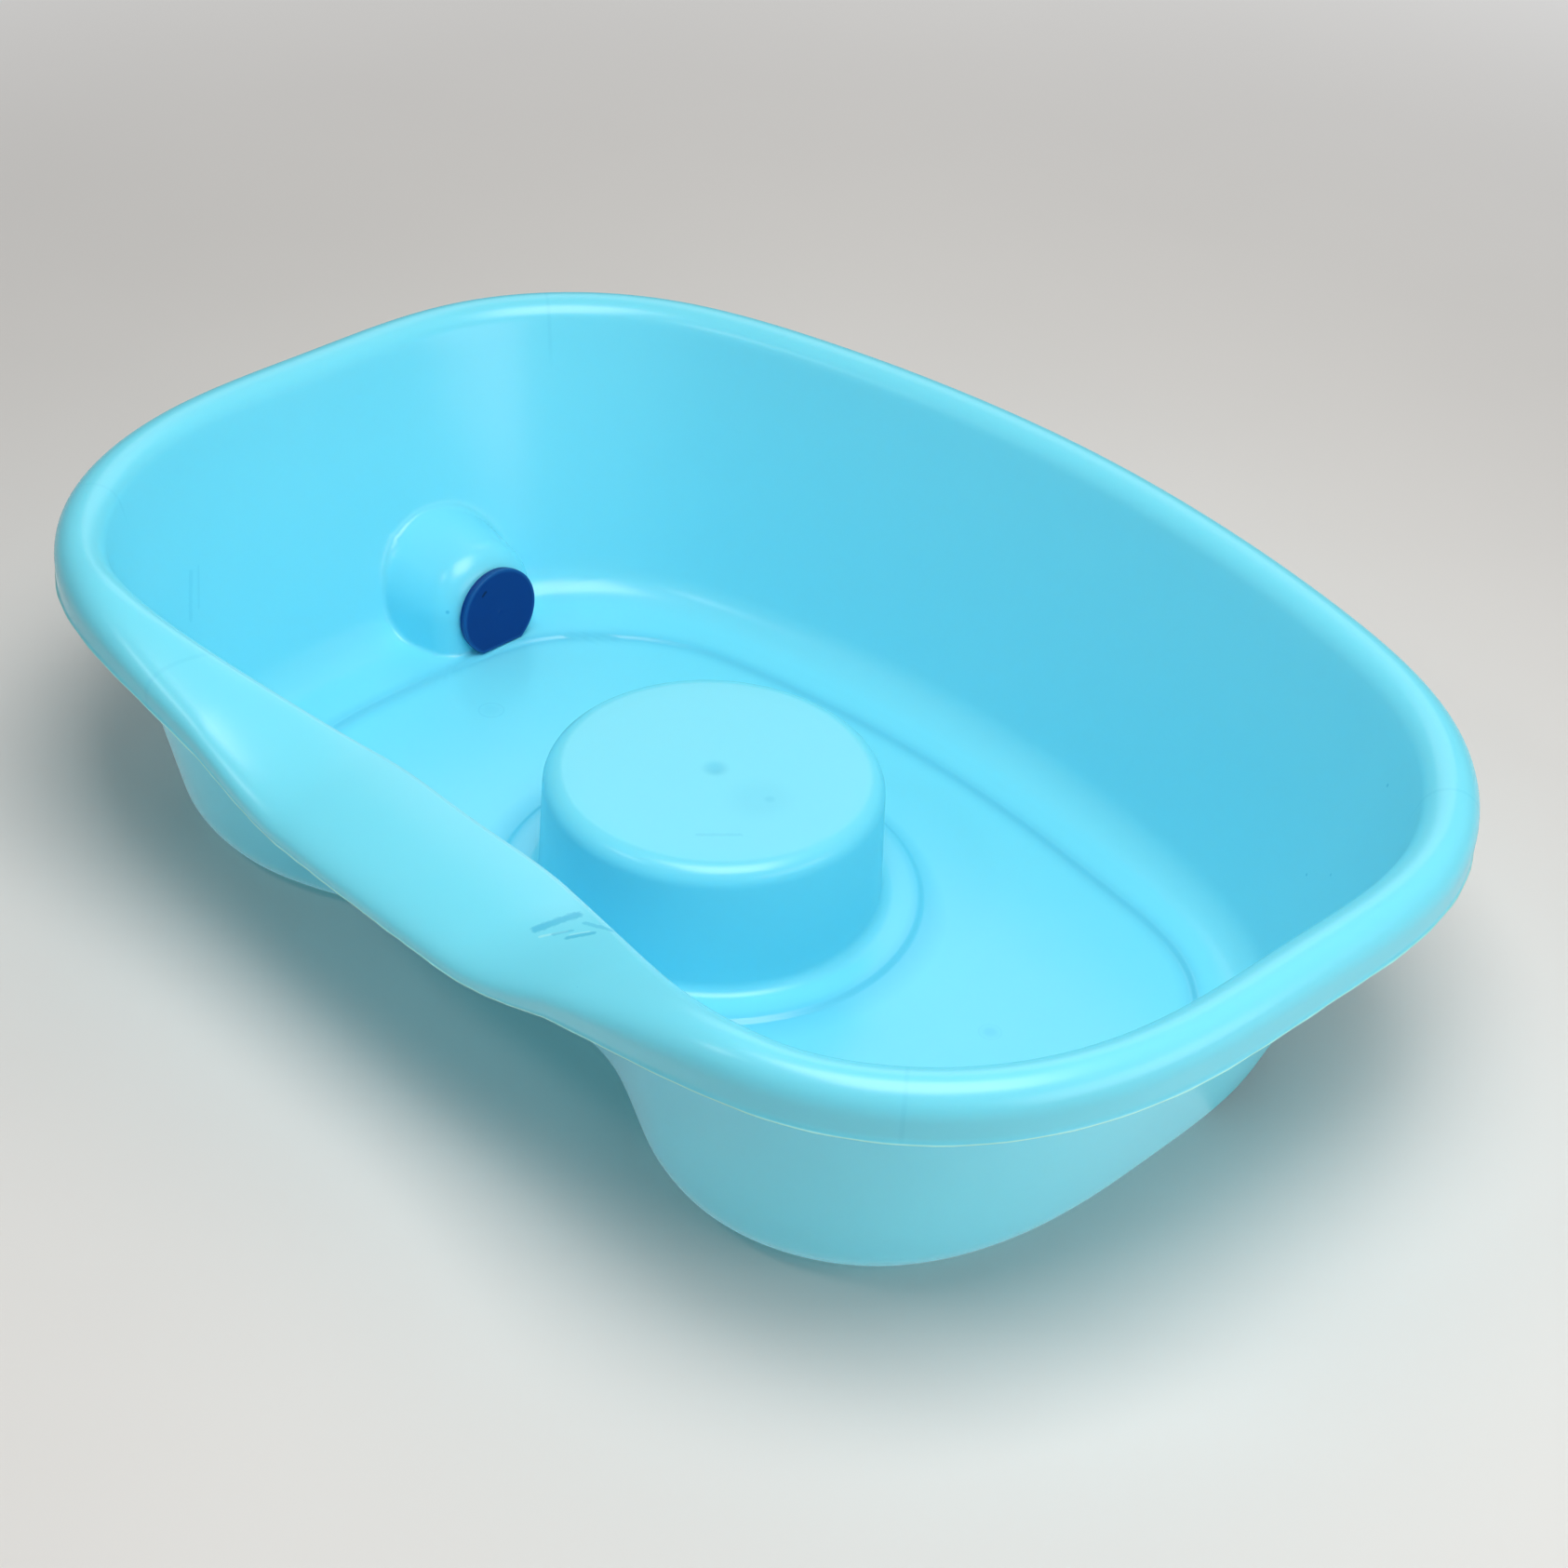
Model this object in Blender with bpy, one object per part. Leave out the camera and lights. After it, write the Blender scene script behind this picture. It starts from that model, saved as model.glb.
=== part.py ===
"""Portable shampoo basin: one thin moulded shell with a raised head rest, a dipped neck rest
and a drain that a push-in plug closes. Metres, +Z up.

The origin lies under the middle of the basin, on the surface that it stands on. The neck side
faces -Y and the drain is at the -X end.
"""
import math

import bmesh
import bpy
import numpy as np

# Basin over all
BASIN_LENGTH = 0.536
BASIN_DEPTH = 0.3776
BASIN_HEIGHT = 0.1244
WALL = 0.0026

# Rolled rim, measured from its crest line
RIM_OUTSIDE = 0.0100
RIM_OUTSIDE_DROP = 0.0107
RIM_SKIRT = 0.0082
RIM_INSIDE = 0.0078

# Neck rest in the front of the rim
NECK_DIP = 0.0316
NECK_OUTSIDE_DROP = 0.0128
NECK_SKIRT = 0.0020
NECK_INSIDE = 0.0028
NECK_EXTRA_WIDTH = 0.0382

# Line where the walls meet the floor, and how far it lies in from the overall size
FOOT_END_INSET = 0.055
FOOT_BACK_INSET = 0.0573
FOOT_FRONT_INSET = 0.0413
FOOT_FILLET = 0.019
NECK_FOOT_FILLET = 0.006

# Raised flat band between the foot of the walls and the sunk floor panel
BAND_FLAT = 0.0128
NECK_BAND_FLAT = 0.0040
DRAIN_BAND_EXTRA = 0.0075
STEP_HEIGHT = 0.0015
STEP_WIDTH = 0.0026

# Head rest, a hollow round boss
HEAD_REST_Y = -0.0205
HEAD_REST_TOP_RADIUS = 0.065
HEAD_REST_FOOT_RADIUS = 0.0664
HEAD_REST_HEIGHT = 0.056
HEAD_REST_EDGE = 0.008
HEAD_REST_FILLET = 0.005
HEAD_RING_RADIUS = 0.0822

# Drain housing, a blunt half cone that stands out from the end wall
DRAIN_FROM_FOOT = 0.0285
DRAIN_Y = 0.0255
DRAIN_HEIGHT = 0.0178
DRAIN_TILT = math.radians(5.0)
HOUSING_RADIUS = 0.0245
HOUSING_EDGE = 0.004
HOUSING_TAPER = math.radians(13.0)

# Drain body: flange inside, threaded sleeve through the wall, tail for a hose
FIT_GAP = 0.0003
SLEEVE_RADIUS = 0.0130
SLEEVE_LENGTH = 0.0175
SLEEVE_BORE_RADIUS = 0.0100
SHOULDER_WALL = 0.0020
FLANGE_RADIUS = 0.0190
FLANGE_THICKNESS = 0.0016
TAIL_RADIUS = 0.0080
TAIL_BORE_RADIUS = 0.0060
TAIL_LENGTH = 0.0210
BARB_HEIGHT = 0.0009
BARB_SHARE = 0.8
BARB_COUNT = 3

# Gasket and nut behind the wall
GASKET_RADIUS = 0.0172
GASKET_THICKNESS = 0.0015
NUT_RADIUS = 0.0175
NUT_THICKNESS = 0.0070
NUT_GRIP_DEPTH = 0.0009
NUT_GRIP_COUNT = 12

# Plug: a disc with one flat, on a tapered stem that carries the seal
PLUG_RADIUS = 0.0194
PLUG_THICKNESS = 0.0022
PLUG_CHAMFER = 0.0004
PLUG_FLAT = 0.0163
STEM_RADIUS = 0.0094
STEM_END_RADIUS = 0.0088
STEM_LENGTH = 0.0120
SEAL_PLACE = 0.0060
SEAL_WIRE_RADIUS = 0.0011
SEAL_SQUEEZE_GAP = 0.0003

# How finely curves are cut
SAMPLES_PER_SPAN = 4
HEAD_REST_EDGE_ROWS = 3
FOOT_ROWS = 4
RIM_INSIDE_ROWS = 4
RIM_OUTSIDE_ROWS = 4
HOUSING_EDGE_ROWS = 4
LATHE_SIDES = 40
SIDES_PER_GRIP = 4
WIRE_SIDES = 8
SMOOTH_ANGLE = math.radians(40.0)

# How far a cutter runs past what it cuts
CUT_OVERRUN = 0.010

# Linear colours
SKY_BLUE = (0.16, 0.62, 0.86)
NAVY = (0.004, 0.025, 0.16)
NEARLY_BLACK = (0.02, 0.02, 0.024)

# Points from the middle of the back, round the +X end, to the middle of the front.
# X is a share of the half length and Y a share of the half depth of each outline.
RIM_OUTLINE_SHARES = (
    (0.0, 1.0), (0.274, 0.972), (0.539, 0.897), (0.813, 0.728), (0.98, 0.38), (0.997, -0.05),
    (0.977, -0.466), (0.858, -0.819), (0.643, -0.999), (0.415, -0.91), (0.206, -0.81), (0.0, -0.805),
)
LIP_OUTLINE_SHARES = (
    (0.0, 1.0), (0.269, 0.973), (0.528, 0.902), (0.805, 0.734), (0.979, 0.381), (0.998, -0.039),
    (0.977, -0.438), (0.855, -0.794), (0.624, -0.986), (0.353, -0.991), (0.174, -0.995), (0.0, -0.998),
)
FOOT_OUTLINE_SHARES = (
    (0.0, 1.0), (0.268, 0.978), (0.526, 0.914), (0.808, 0.742), (0.972, 0.398), (1.005, -0.055),
    (0.992, -0.45), (0.879, -0.84), (0.666, -1.002), (0.49, -0.962), (0.246, -0.785), (0.0, -0.775),
)

# Where the neck rest's level part and its slopes end, as shares of the rim crest's half length
NECK_LEVEL_SHARE = 0.2
NECK_SLOPE_END_SHARE = 0.674

# Where the band starts to widen towards the drain's end, and over what run, as shares of the
# foot line's half length
DRAIN_BAND_START_SHARE = 0.55
DRAIN_BAND_RUN_SHARE = 0.35

# Sizes and places that follow from those above
FLOOR_Z = WALL
BAND_Z = FLOOR_Z + STEP_HEIGHT
FOOT_HALF_LENGTH = BASIN_LENGTH / 2 - FOOT_END_INSET
FOOT_HALF_DEPTH = (BASIN_DEPTH - FOOT_BACK_INSET - FOOT_FRONT_INSET) / 2
FOOT_Y = (FOOT_FRONT_INSET - FOOT_BACK_INSET) / 2
DRAIN_X = DRAIN_FROM_FOOT - FOOT_HALF_LENGTH
DRAIN_Z = FLOOR_Z + DRAIN_HEIGHT
HOUSING_LENGTH = BASIN_LENGTH / 2 + DRAIN_X


def closed_curve(points):
    """Smooth closed curve through the points: a periodic cubic spline over chord length.

    Returns its samples and their outward normals, with equal steps inside each span.
    """
    points = np.asarray(points, float)
    count = len(points)
    after = np.roll(points, -1, axis=0)
    chord = np.linalg.norm(after - points, axis=1)
    before = np.roll(chord, 1)
    slope = (after - points) / chord[:, None]
    matrix = np.zeros((count, count))
    index = np.arange(count)
    matrix[index, index] = 2 * (before + chord)
    matrix[index, (index - 1) % count] = before
    matrix[index, (index + 1) % count] = chord
    bend = np.linalg.solve(matrix, 6 * (slope - np.roll(slope, 1, axis=0)))
    bend_after = np.roll(bend, -1, axis=0)
    share = np.arange(SAMPLES_PER_SPAN) / SAMPLES_PER_SPAN
    b = share[None, :, None]
    a = 1 - b
    c = chord[:, None, None]
    place = a * points[:, None] + b * after[:, None]
    place = place + c * c / 6 * ((a**3 - a) * bend[:, None] + (b**3 - b) * bend_after[:, None])
    turn = (1 - 3 * a * a) * bend[:, None] + (3 * b * b - 1) * bend_after[:, None]
    along = slope[:, None] + c / 6 * turn
    place = place.reshape(-1, 2)
    along = along.reshape(-1, 2)
    along = along / np.linalg.norm(along, axis=1)[:, None]
    normal = np.stack([-along[:, 1], along[:, 0]], axis=1)
    return place, normal


def outline(shares, half_length, half_depth, middle_y):
    """Closed outline from the points of its +X half, mirrored to the -X half."""
    half = np.array(shares) * [half_length, half_depth] + [0.0, middle_y]
    mirrored = half[1:-1][::-1] * [-1.0, 1.0]
    return closed_curve(np.vstack([half, mirrored]))


def smooth_step(share):
    """0 below 0 and 1 above 1, with a smooth step between."""
    share = np.clip(share, 0.0, 1.0)
    return share * share * (3 - 2 * share)


def neck_share(place, half_length):
    """1 in the middle of the neck rest, 0 outside it, with a smooth step between."""
    level_end = NECK_LEVEL_SHARE * half_length
    slope_end = NECK_SLOPE_END_SHARE * half_length
    share = smooth_step((slope_end - np.abs(place[:, 0])) / (slope_end - level_end))
    return share * (place[:, 1] < 0.0)


def drain_end_share(foot):
    """1 at the drain's end of the foot line, 0 away from it, with a smooth step between."""
    past = -foot[:, 0] / FOOT_HALF_LENGTH - DRAIN_BAND_START_SHARE
    return smooth_step(past / DRAIN_BAND_RUN_SHARE)


def blend(ends, neck_rest, neck):
    """A size that has one value at the neck rest and another elsewhere."""
    return ends + (neck_rest - ends) * neck


def level(place, height):
    """Row of points at the given height, one for each point of an outline."""
    return np.column_stack([place, np.broadcast_to(height, len(place))])


def head_rest_rows(direction):
    """Rows from the top edge of the head rest down to the groove round its foot."""
    middle = np.array([0.0, HEAD_REST_Y])
    top_z = FLOOR_Z + HEAD_REST_HEIGHT
    rows = []
    for turn in np.linspace(0.0, math.pi / 2, HEAD_REST_EDGE_ROWS):
        radius = HEAD_REST_TOP_RADIUS - HEAD_REST_EDGE * (1 - math.sin(turn))
        rows.append(level(middle + radius * direction, top_z - HEAD_REST_EDGE * (1 - math.cos(turn))))
    for turn in np.linspace(math.pi / 2, 0.0, HEAD_REST_EDGE_ROWS):
        radius = HEAD_REST_FOOT_RADIUS + HEAD_REST_FILLET * (1 - math.sin(turn))
        rows.append(level(middle + radius * direction, BAND_Z + HEAD_REST_FILLET * (1 - math.cos(turn))))
    rows.append(level(middle + (HEAD_RING_RADIUS - STEP_WIDTH / 2) * direction, BAND_Z))
    rows.append(level(middle + (HEAD_RING_RADIUS + STEP_WIDTH / 2) * direction, FLOOR_Z))
    return rows


def foot_fillet_rows(foot, outward, fillet, rise):
    """Rows of the round foot of the wall, which ends on the wall's straight slope."""
    rows = []
    for share in np.linspace(0.0, 1.0, FOOT_ROWS):
        turn = rise * share
        across = fillet * (np.sin(turn) - np.tan(rise / 2))
        rows.append(level(foot + outward * across[:, None], BAND_Z + fillet * (1 - np.cos(turn))))
    return rows


def rim_rows(crest, normal, lip, neck, rise):
    """Rows over the rolled rim, from the top of the wall's slope to the bottom of its skirt."""
    crest_z = BASIN_HEIGHT - NECK_DIP * neck
    roll = lip - crest
    outside_drop = blend(RIM_OUTSIDE_DROP, NECK_OUTSIDE_DROP, neck)
    inside_radius = blend(RIM_INSIDE, NECK_INSIDE, neck) / np.tan(rise / 2)
    rows = []
    for share in np.linspace(1.0, 0.0, RIM_INSIDE_ROWS):
        turn = rise * share
        across = (inside_radius * np.sin(turn))[:, None]
        rows.append(level(crest - normal * across, crest_z - inside_radius * (1 - np.cos(turn))))
    for turn in np.linspace(0.0, math.pi / 2, RIM_OUTSIDE_ROWS + 1)[1:]:
        place = crest + roll * math.sin(turn)
        rows.append(level(place, crest_z - outside_drop * (1 - math.cos(turn))))
    rows.append(level(lip, crest_z - outside_drop - blend(RIM_SKIRT, NECK_SKIRT, neck)))
    return rows


def basin_rows():
    """All rows of the upper surface, from the head rest out to the lip.

    The wall's slope runs from the foot line to a line RIM_INSIDE in from the rim's crest, at the
    crest's height. A fillet at each end of the slope touches it. The rim rolls over from its
    crest to the lip, which has an outline of its own.
    """
    crest_half_length = BASIN_LENGTH / 2 - RIM_OUTSIDE
    crest_depth = BASIN_DEPTH - 2 * RIM_OUTSIDE - NECK_EXTRA_WIDTH
    crest_half_depth = crest_depth / (RIM_OUTLINE_SHARES[0][1] - RIM_OUTLINE_SHARES[-1][1])
    crest_y = BASIN_DEPTH / 2 - RIM_OUTSIDE - crest_half_depth
    crest, crest_normal = outline(RIM_OUTLINE_SHARES, crest_half_length, crest_half_depth, crest_y)
    lip = outline(LIP_OUTLINE_SHARES, BASIN_LENGTH / 2, BASIN_DEPTH / 2, 0.0)[0]
    foot, foot_normal = outline(FOOT_OUTLINE_SHARES, FOOT_HALF_LENGTH, FOOT_HALF_DEPTH, FOOT_Y)
    neck = neck_share(crest, crest_half_length)
    lean = crest - crest_normal * blend(RIM_INSIDE, NECK_INSIDE, neck)[:, None] - foot
    reach = np.linalg.norm(lean, axis=1)
    rise = np.arctan2(BASIN_HEIGHT - NECK_DIP * neck - BAND_Z, reach)
    fillet = blend(FOOT_FILLET, NECK_FOOT_FILLET, neck)
    band = blend(BAND_FLAT, NECK_BAND_FLAT, neck) + DRAIN_BAND_EXTRA * drain_end_share(foot)
    inset = fillet * np.tan(rise / 2) + band
    half_step = STEP_WIDTH / 2 * foot_normal
    crease = foot - inset[:, None] * foot_normal
    direction = crease - [0.0, HEAD_REST_Y]
    direction = direction / np.linalg.norm(direction, axis=1)[:, None]
    rows = head_rest_rows(direction)
    rows.append(level(crease - half_step, FLOOR_Z))
    rows.append(level(crease + half_step, BAND_Z))
    rows += foot_fillet_rows(foot, lean / reach[:, None], fillet, rise)
    return rows + rim_rows(crest, crest_normal, lip, neck, rise)


def new_object(name, mesh_data, parent=None):
    """Links a mesh, or a bmesh that is then freed, to the scene under a name."""
    if isinstance(mesh_data, bmesh.types.BMesh):
        mesh = bpy.data.meshes.new(name)
        mesh_data.to_mesh(mesh)
        mesh_data.free()
    else:
        mesh = mesh_data
    made = bpy.data.objects.new(name, mesh)
    bpy.context.collection.objects.link(made)
    if parent is not None:
        made.parent = parent
    return made


def bridge(bm, first, second):
    """Quads between two rings of vertices with the same count."""
    count = len(first)
    for i in range(count):
        j = (i + 1) % count
        bm.faces.new((first[i], first[j], second[j], second[i]))


def cap(bm, ring, turned_over=False):
    """One face over a ring of vertices."""
    bm.faces.new(ring[::-1] if turned_over else ring)


def sheet_of_rows(rows, middle):
    """Open surface through the rows, closed at its middle by a fan of triangles."""
    bm = bmesh.new()
    rings = [[bm.verts.new(point) for point in row] for row in rows]
    pole = bm.verts.new(middle)
    count = len(rings[0])
    for i in range(count):
        bm.faces.new((pole, rings[0][(i + 1) % count], rings[0][i]))
    for upper, lower in zip(rings, rings[1:]):
        bridge(bm, upper, lower)
    bmesh.ops.recalc_face_normals(bm, faces=bm.faces)
    return bm


def solid_of_rows(rows):
    """Closed solid through the rows, with a flat face over the first and the last."""
    bm = bmesh.new()
    rings = [[bm.verts.new(point) for point in row] for row in rows]
    for first, second in zip(rings, rings[1:]):
        bridge(bm, first, second)
    cap(bm, rings[0])
    cap(bm, rings[-1], turned_over=True)
    bmesh.ops.recalc_face_normals(bm, faces=bm.faces)
    return bm


def lathe(name, profile, parent, sides=LATHE_SIDES, ripple=None):
    """Solid turned about the local Z axis from a closed profile of (radius, height) points.

    A profile point on the axis becomes a pole. ripple is a function of angle that lowers the
    radius of the points which the profile marks with a third value of 1.
    """
    bm = bmesh.new()
    angles = [2 * math.pi * i / sides for i in range(sides)]
    rings = []
    for radius, height, *mark in profile:
        if radius == 0.0:
            rings.append([bm.verts.new((0.0, 0.0, height))])
            continue
        ring = []
        for angle in angles:
            here = radius - (ripple(angle) if ripple and mark else 0.0)
            ring.append(bm.verts.new((here * math.cos(angle), here * math.sin(angle), height)))
        rings.append(ring)
    pairs = list(zip(rings, rings[1:]))
    if len(rings[0]) > 1:
        pairs.append((rings[-1], rings[0]))
    for first, second in pairs:
        if len(first) == 1:
            for i in range(sides):
                bm.faces.new((first[0], second[i], second[(i + 1) % sides]))
        elif len(second) == 1:
            for i in range(sides):
                bm.faces.new((first[i], second[0], first[(i + 1) % sides]))
        else:
            bridge(bm, first, second)
    bmesh.ops.recalc_face_normals(bm, faces=bm.faces)
    return new_object(name, bm, parent)


def hide_cutter(cutter):
    """Marks an object as a construction body that isn't part of the basin."""
    cutter.hide_render = True
    cutter.display_type = "WIRE"
    return cutter


def add_boolean(target, other, operation):
    """Joins, cuts or trims the target by another object, with the exact solver."""
    modifier = target.modifiers.new(operation.lower() + "_" + other.name, "BOOLEAN")
    modifier.operation = operation
    modifier.object = other
    modifier.solver = "EXACT"


def plastic(name, colour, roughness, subsurface=0.0):
    """Principled material of a moulded plastic or rubber."""
    material = bpy.data.materials.new(name)
    material.use_nodes = True
    shader = material.node_tree.nodes["Principled BSDF"]
    shader.inputs["Base Color"].default_value = (*colour, 1.0)
    shader.inputs["Roughness"].default_value = roughness
    shader.inputs["Metallic"].default_value = 0.0
    shader.inputs["Subsurface Weight"].default_value = subsurface
    return material


def finish(made, material):
    """Gives a sub-part its material and its shading."""
    made.data.materials.clear()
    made.data.materials.append(material)
    made.data.shade_smooth()
    made.data.set_sharp_from_angle(angle=SMOOTH_ANGLE)
    return made


def drain_frame():
    """Empty at the middle of the housing's face: local Z is the way the plug pulls out."""
    frame = bpy.data.objects.new("drain_axis", None)
    bpy.context.collection.objects.link(frame)
    frame.location = (DRAIN_X, DRAIN_Y, DRAIN_Z)
    frame.rotation_euler = (0.0, math.pi / 2 - DRAIN_TILT, 0.0)
    return frame


def arch_row(radius, depth, sink_z):
    """Arch outline at a depth behind the housing's face: a half circle on two straight legs.

    The points are in the drain frame. Its local X points down, so the legs end at the X where
    their world height is sink_z.
    """
    leg = (DRAIN_Z - math.sin(DRAIN_TILT) * depth - sink_z) / math.cos(DRAIN_TILT)
    row = [(leg, -radius, -depth)]
    for i in range(LATHE_SIDES // 2 + 1):
        angle = math.pi * i / (LATHE_SIDES // 2)
        row.append((-radius * math.sin(angle), -radius * math.cos(angle), -depth))
    row.append((leg, radius, -depth))
    return row


def housing_rows(shrink, start, length, sink_z):
    """Arch rows of the half cone, drawn in by shrink, from start behind its face."""
    edge = HOUSING_EDGE - min(shrink, HOUSING_EDGE / 2)
    face_radius = HOUSING_RADIUS - shrink
    rows = []
    for turn in np.linspace(0.0, math.pi / 2, HOUSING_EDGE_ROWS):
        radius = face_radius - edge * (1 - math.sin(turn))
        rows.append(arch_row(radius, start + edge * (1 - math.cos(turn)), sink_z))
    run = length - edge
    rows.append(arch_row(face_radius + run * math.tan(HOUSING_TAPER), start + length, sink_z))
    return rows


def basin_fill():
    """Construction body: the space inside the middle of the basin's walls."""
    wall = []
    rows_above_wall = RIM_INSIDE_ROWS + RIM_OUTSIDE_ROWS
    for row in basin_rows()[-rows_above_wall - FOOT_ROWS - 1:-rows_above_wall]:
        out = row[:, :2] / np.linalg.norm(row[:, :2], axis=1)[:, None]
        wall.append(level(row[:, :2] + out * WALL / 2, row[:, 2]))
    below = level(wall[0][:, :2], -CUT_OVERRUN)
    return hide_cutter(new_object("basin_fill", solid_of_rows([below] + wall)))


def drain_housing(frame, fill):
    """Construction body: the half cone, trimmed to the inside of the basin."""
    rows = housing_rows(0.0, 0.0, HOUSING_LENGTH, (FLOOR_Z + STEP_HEIGHT) / 2)
    housing = hide_cutter(new_object("drain_housing", solid_of_rows(rows), frame))
    add_boolean(housing, fill, "INTERSECT")
    return housing


def housing_pocket(frame):
    """Construction body: the hollow behind the housing, open to the outside and below."""
    rows = housing_rows(WALL, WALL, HOUSING_LENGTH + CUT_OVERRUN, -CUT_OVERRUN)
    return hide_cutter(new_object("housing_pocket", solid_of_rows(rows), frame))


def bore_cutter(frame):
    """Construction body: the hole through the housing's face."""
    radius = SLEEVE_RADIUS + FIT_GAP
    back = WALL + CUT_OVERRUN
    profile = ((0.0, -back), (radius, -back), (radius, CUT_OVERRUN), (0.0, CUT_OVERRUN))
    return hide_cutter(lathe("bore_cutter", profile, frame))


def flat_cutter(frame):
    """Construction body: what the flat at the bottom of the flange and plug leaves out."""
    bm = bmesh.new()
    bmesh.ops.create_cube(bm, size=1.0)
    reach = 2 * PLUG_RADIUS + CUT_OVERRUN
    size = (reach, 2 * reach, 2 * CUT_OVERRUN)
    bmesh.ops.scale(bm, vec=size, verts=bm.verts)
    bmesh.ops.translate(bm, vec=(PLUG_FLAT + reach / 2, 0.0, 0.0), verts=bm.verts)
    return hide_cutter(new_object("flat_cutter", bm, frame))


def basin_shell(frame, material):
    """The basin: one sheet of even thickness with the drain housing joined in."""
    rows = basin_rows()
    middle = (0.0, HEAD_REST_Y, FLOOR_Z + HEAD_REST_HEIGHT)
    shell = new_object("basin_shell", sheet_of_rows(rows, middle))
    thick = shell.modifiers.new("wall_thickness", "SOLIDIFY")
    thick.thickness = WALL
    thick.offset = -1.0
    thick.use_even_offset = True
    thick.use_quality_normals = True
    add_boolean(shell, drain_housing(frame, basin_fill()), "UNION")
    add_boolean(shell, housing_pocket(frame), "DIFFERENCE")
    add_boolean(shell, bore_cutter(frame), "DIFFERENCE")
    return finish(shell, material)


def drain_body(frame, cutter, material):
    """Flange, threaded sleeve and barbed hose tail, bored through for the water."""
    front = FLANGE_THICKNESS + FIT_GAP
    shoulder = -SLEEVE_LENGTH
    bore_end = shoulder + SHOULDER_WALL
    end = shoulder - TAIL_LENGTH
    pitch = TAIL_LENGTH / (BARB_COUNT + 1)
    profile = [(SLEEVE_BORE_RADIUS, front), (FLANGE_RADIUS, front), (FLANGE_RADIUS, FIT_GAP)]
    profile += [(SLEEVE_RADIUS, FIT_GAP), (SLEEVE_RADIUS, shoulder), (TAIL_RADIUS, shoulder)]
    for i in range(BARB_COUNT):
        root = shoulder - pitch * (i + 1)
        profile += [(TAIL_RADIUS, root), (TAIL_RADIUS + BARB_HEIGHT, root)]
        profile += [(TAIL_RADIUS, root - pitch * BARB_SHARE)]
    profile += [(TAIL_RADIUS, end), (TAIL_BORE_RADIUS, end)]
    profile += [(TAIL_BORE_RADIUS, bore_end), (SLEEVE_BORE_RADIUS, bore_end)]
    body = lathe("drain_body", profile, frame)
    add_boolean(body, cutter, "DIFFERENCE")
    return finish(body, material)


def drain_gasket(frame, material):
    """Flat rubber washer between the wall and the nut."""
    bore = SLEEVE_RADIUS + FIT_GAP
    front = -WALL - FIT_GAP
    back = front - GASKET_THICKNESS
    profile = ((bore, front), (GASKET_RADIUS, front), (GASKET_RADIUS, back), (bore, back))
    return finish(lathe("drain_gasket", profile, frame), material)


def drain_nut(frame, material):
    """Round nut with finger grips that draws the flange against the wall."""
    bore = SLEEVE_RADIUS + FIT_GAP
    front = -WALL - GASKET_THICKNESS - 2 * FIT_GAP
    back = front - NUT_THICKNESS

    def grip(angle):
        return NUT_GRIP_DEPTH * (1 + math.cos(NUT_GRIP_COUNT * angle)) / 2

    profile = ((bore, front), (NUT_RADIUS, front, 1), (NUT_RADIUS, back, 1), (bore, back))
    sides = NUT_GRIP_COUNT * SIDES_PER_GRIP
    return finish(lathe("drain_nut", profile, frame, sides, grip), material)


def drain_plug(frame, cutter, material):
    """Stopper disc with one flat, and the tapered stem that carries the seal."""
    back = FLANGE_THICKNESS + 2 * FIT_GAP
    face = back + PLUG_THICKNESS
    rim = PLUG_RADIUS - PLUG_CHAMFER
    groove = SLEEVE_BORE_RADIUS - SEAL_SQUEEZE_GAP - 2 * SEAL_WIRE_RADIUS - FIT_GAP
    upper = back - SEAL_PLACE + SEAL_WIRE_RADIUS + FIT_GAP
    lower = back - SEAL_PLACE - SEAL_WIRE_RADIUS - FIT_GAP
    end = back - STEM_LENGTH
    profile = ((0.0, face), (rim, face), (PLUG_RADIUS, face - PLUG_CHAMFER), (PLUG_RADIUS, back),
               (STEM_RADIUS, back), (STEM_RADIUS, upper), (groove, upper), (groove, lower),
               (STEM_RADIUS, lower), (STEM_END_RADIUS, end), (0.0, end))
    plug = lathe("drain_plug", profile, frame)
    add_boolean(plug, cutter, "DIFFERENCE")
    return finish(plug, material)


def plug_seal(frame, material):
    """Rubber ring in the groove of the plug's stem."""
    wire_middle = SLEEVE_BORE_RADIUS - SEAL_SQUEEZE_GAP - SEAL_WIRE_RADIUS
    height = FLANGE_THICKNESS + 2 * FIT_GAP - SEAL_PLACE
    profile = []
    for i in range(WIRE_SIDES):
        angle = 2 * math.pi * i / WIRE_SIDES
        radius = wire_middle + SEAL_WIRE_RADIUS * math.cos(angle)
        profile.append((radius, height + SEAL_WIRE_RADIUS * math.sin(angle)))
    return finish(lathe("plug_seal", profile, frame), material)


def main():
    """Clears the scene and builds the basin."""
    for old in list(bpy.data.objects):
        bpy.data.objects.remove(old)
    sky_blue = plastic("sky_blue_polypropylene", SKY_BLUE, 0.32, 0.1)
    navy = plastic("navy_plastic", NAVY, 0.35)
    rubber = plastic("dark_rubber", NEARLY_BLACK, 0.7)
    frame = drain_frame()
    cutter = flat_cutter(frame)
    basin_shell(frame, sky_blue)
    drain_body(frame, cutter, navy)
    drain_gasket(frame, rubber)
    drain_nut(frame, navy)
    drain_plug(frame, cutter, navy)
    plug_seal(frame, rubber)


main()
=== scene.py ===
"""Portable shampoo basin: the finish of every piece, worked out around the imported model.

Metres, +Z up. The neck side faces -Y and the drain is at the -X end. Every surface is a function of
two parameters that numpy works out on a grid.
"""
import math

import bpy
import numpy as np
from bpy.props import FloatProperty, FloatVectorProperty, PointerProperty
from mathutils import Matrix


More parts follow.
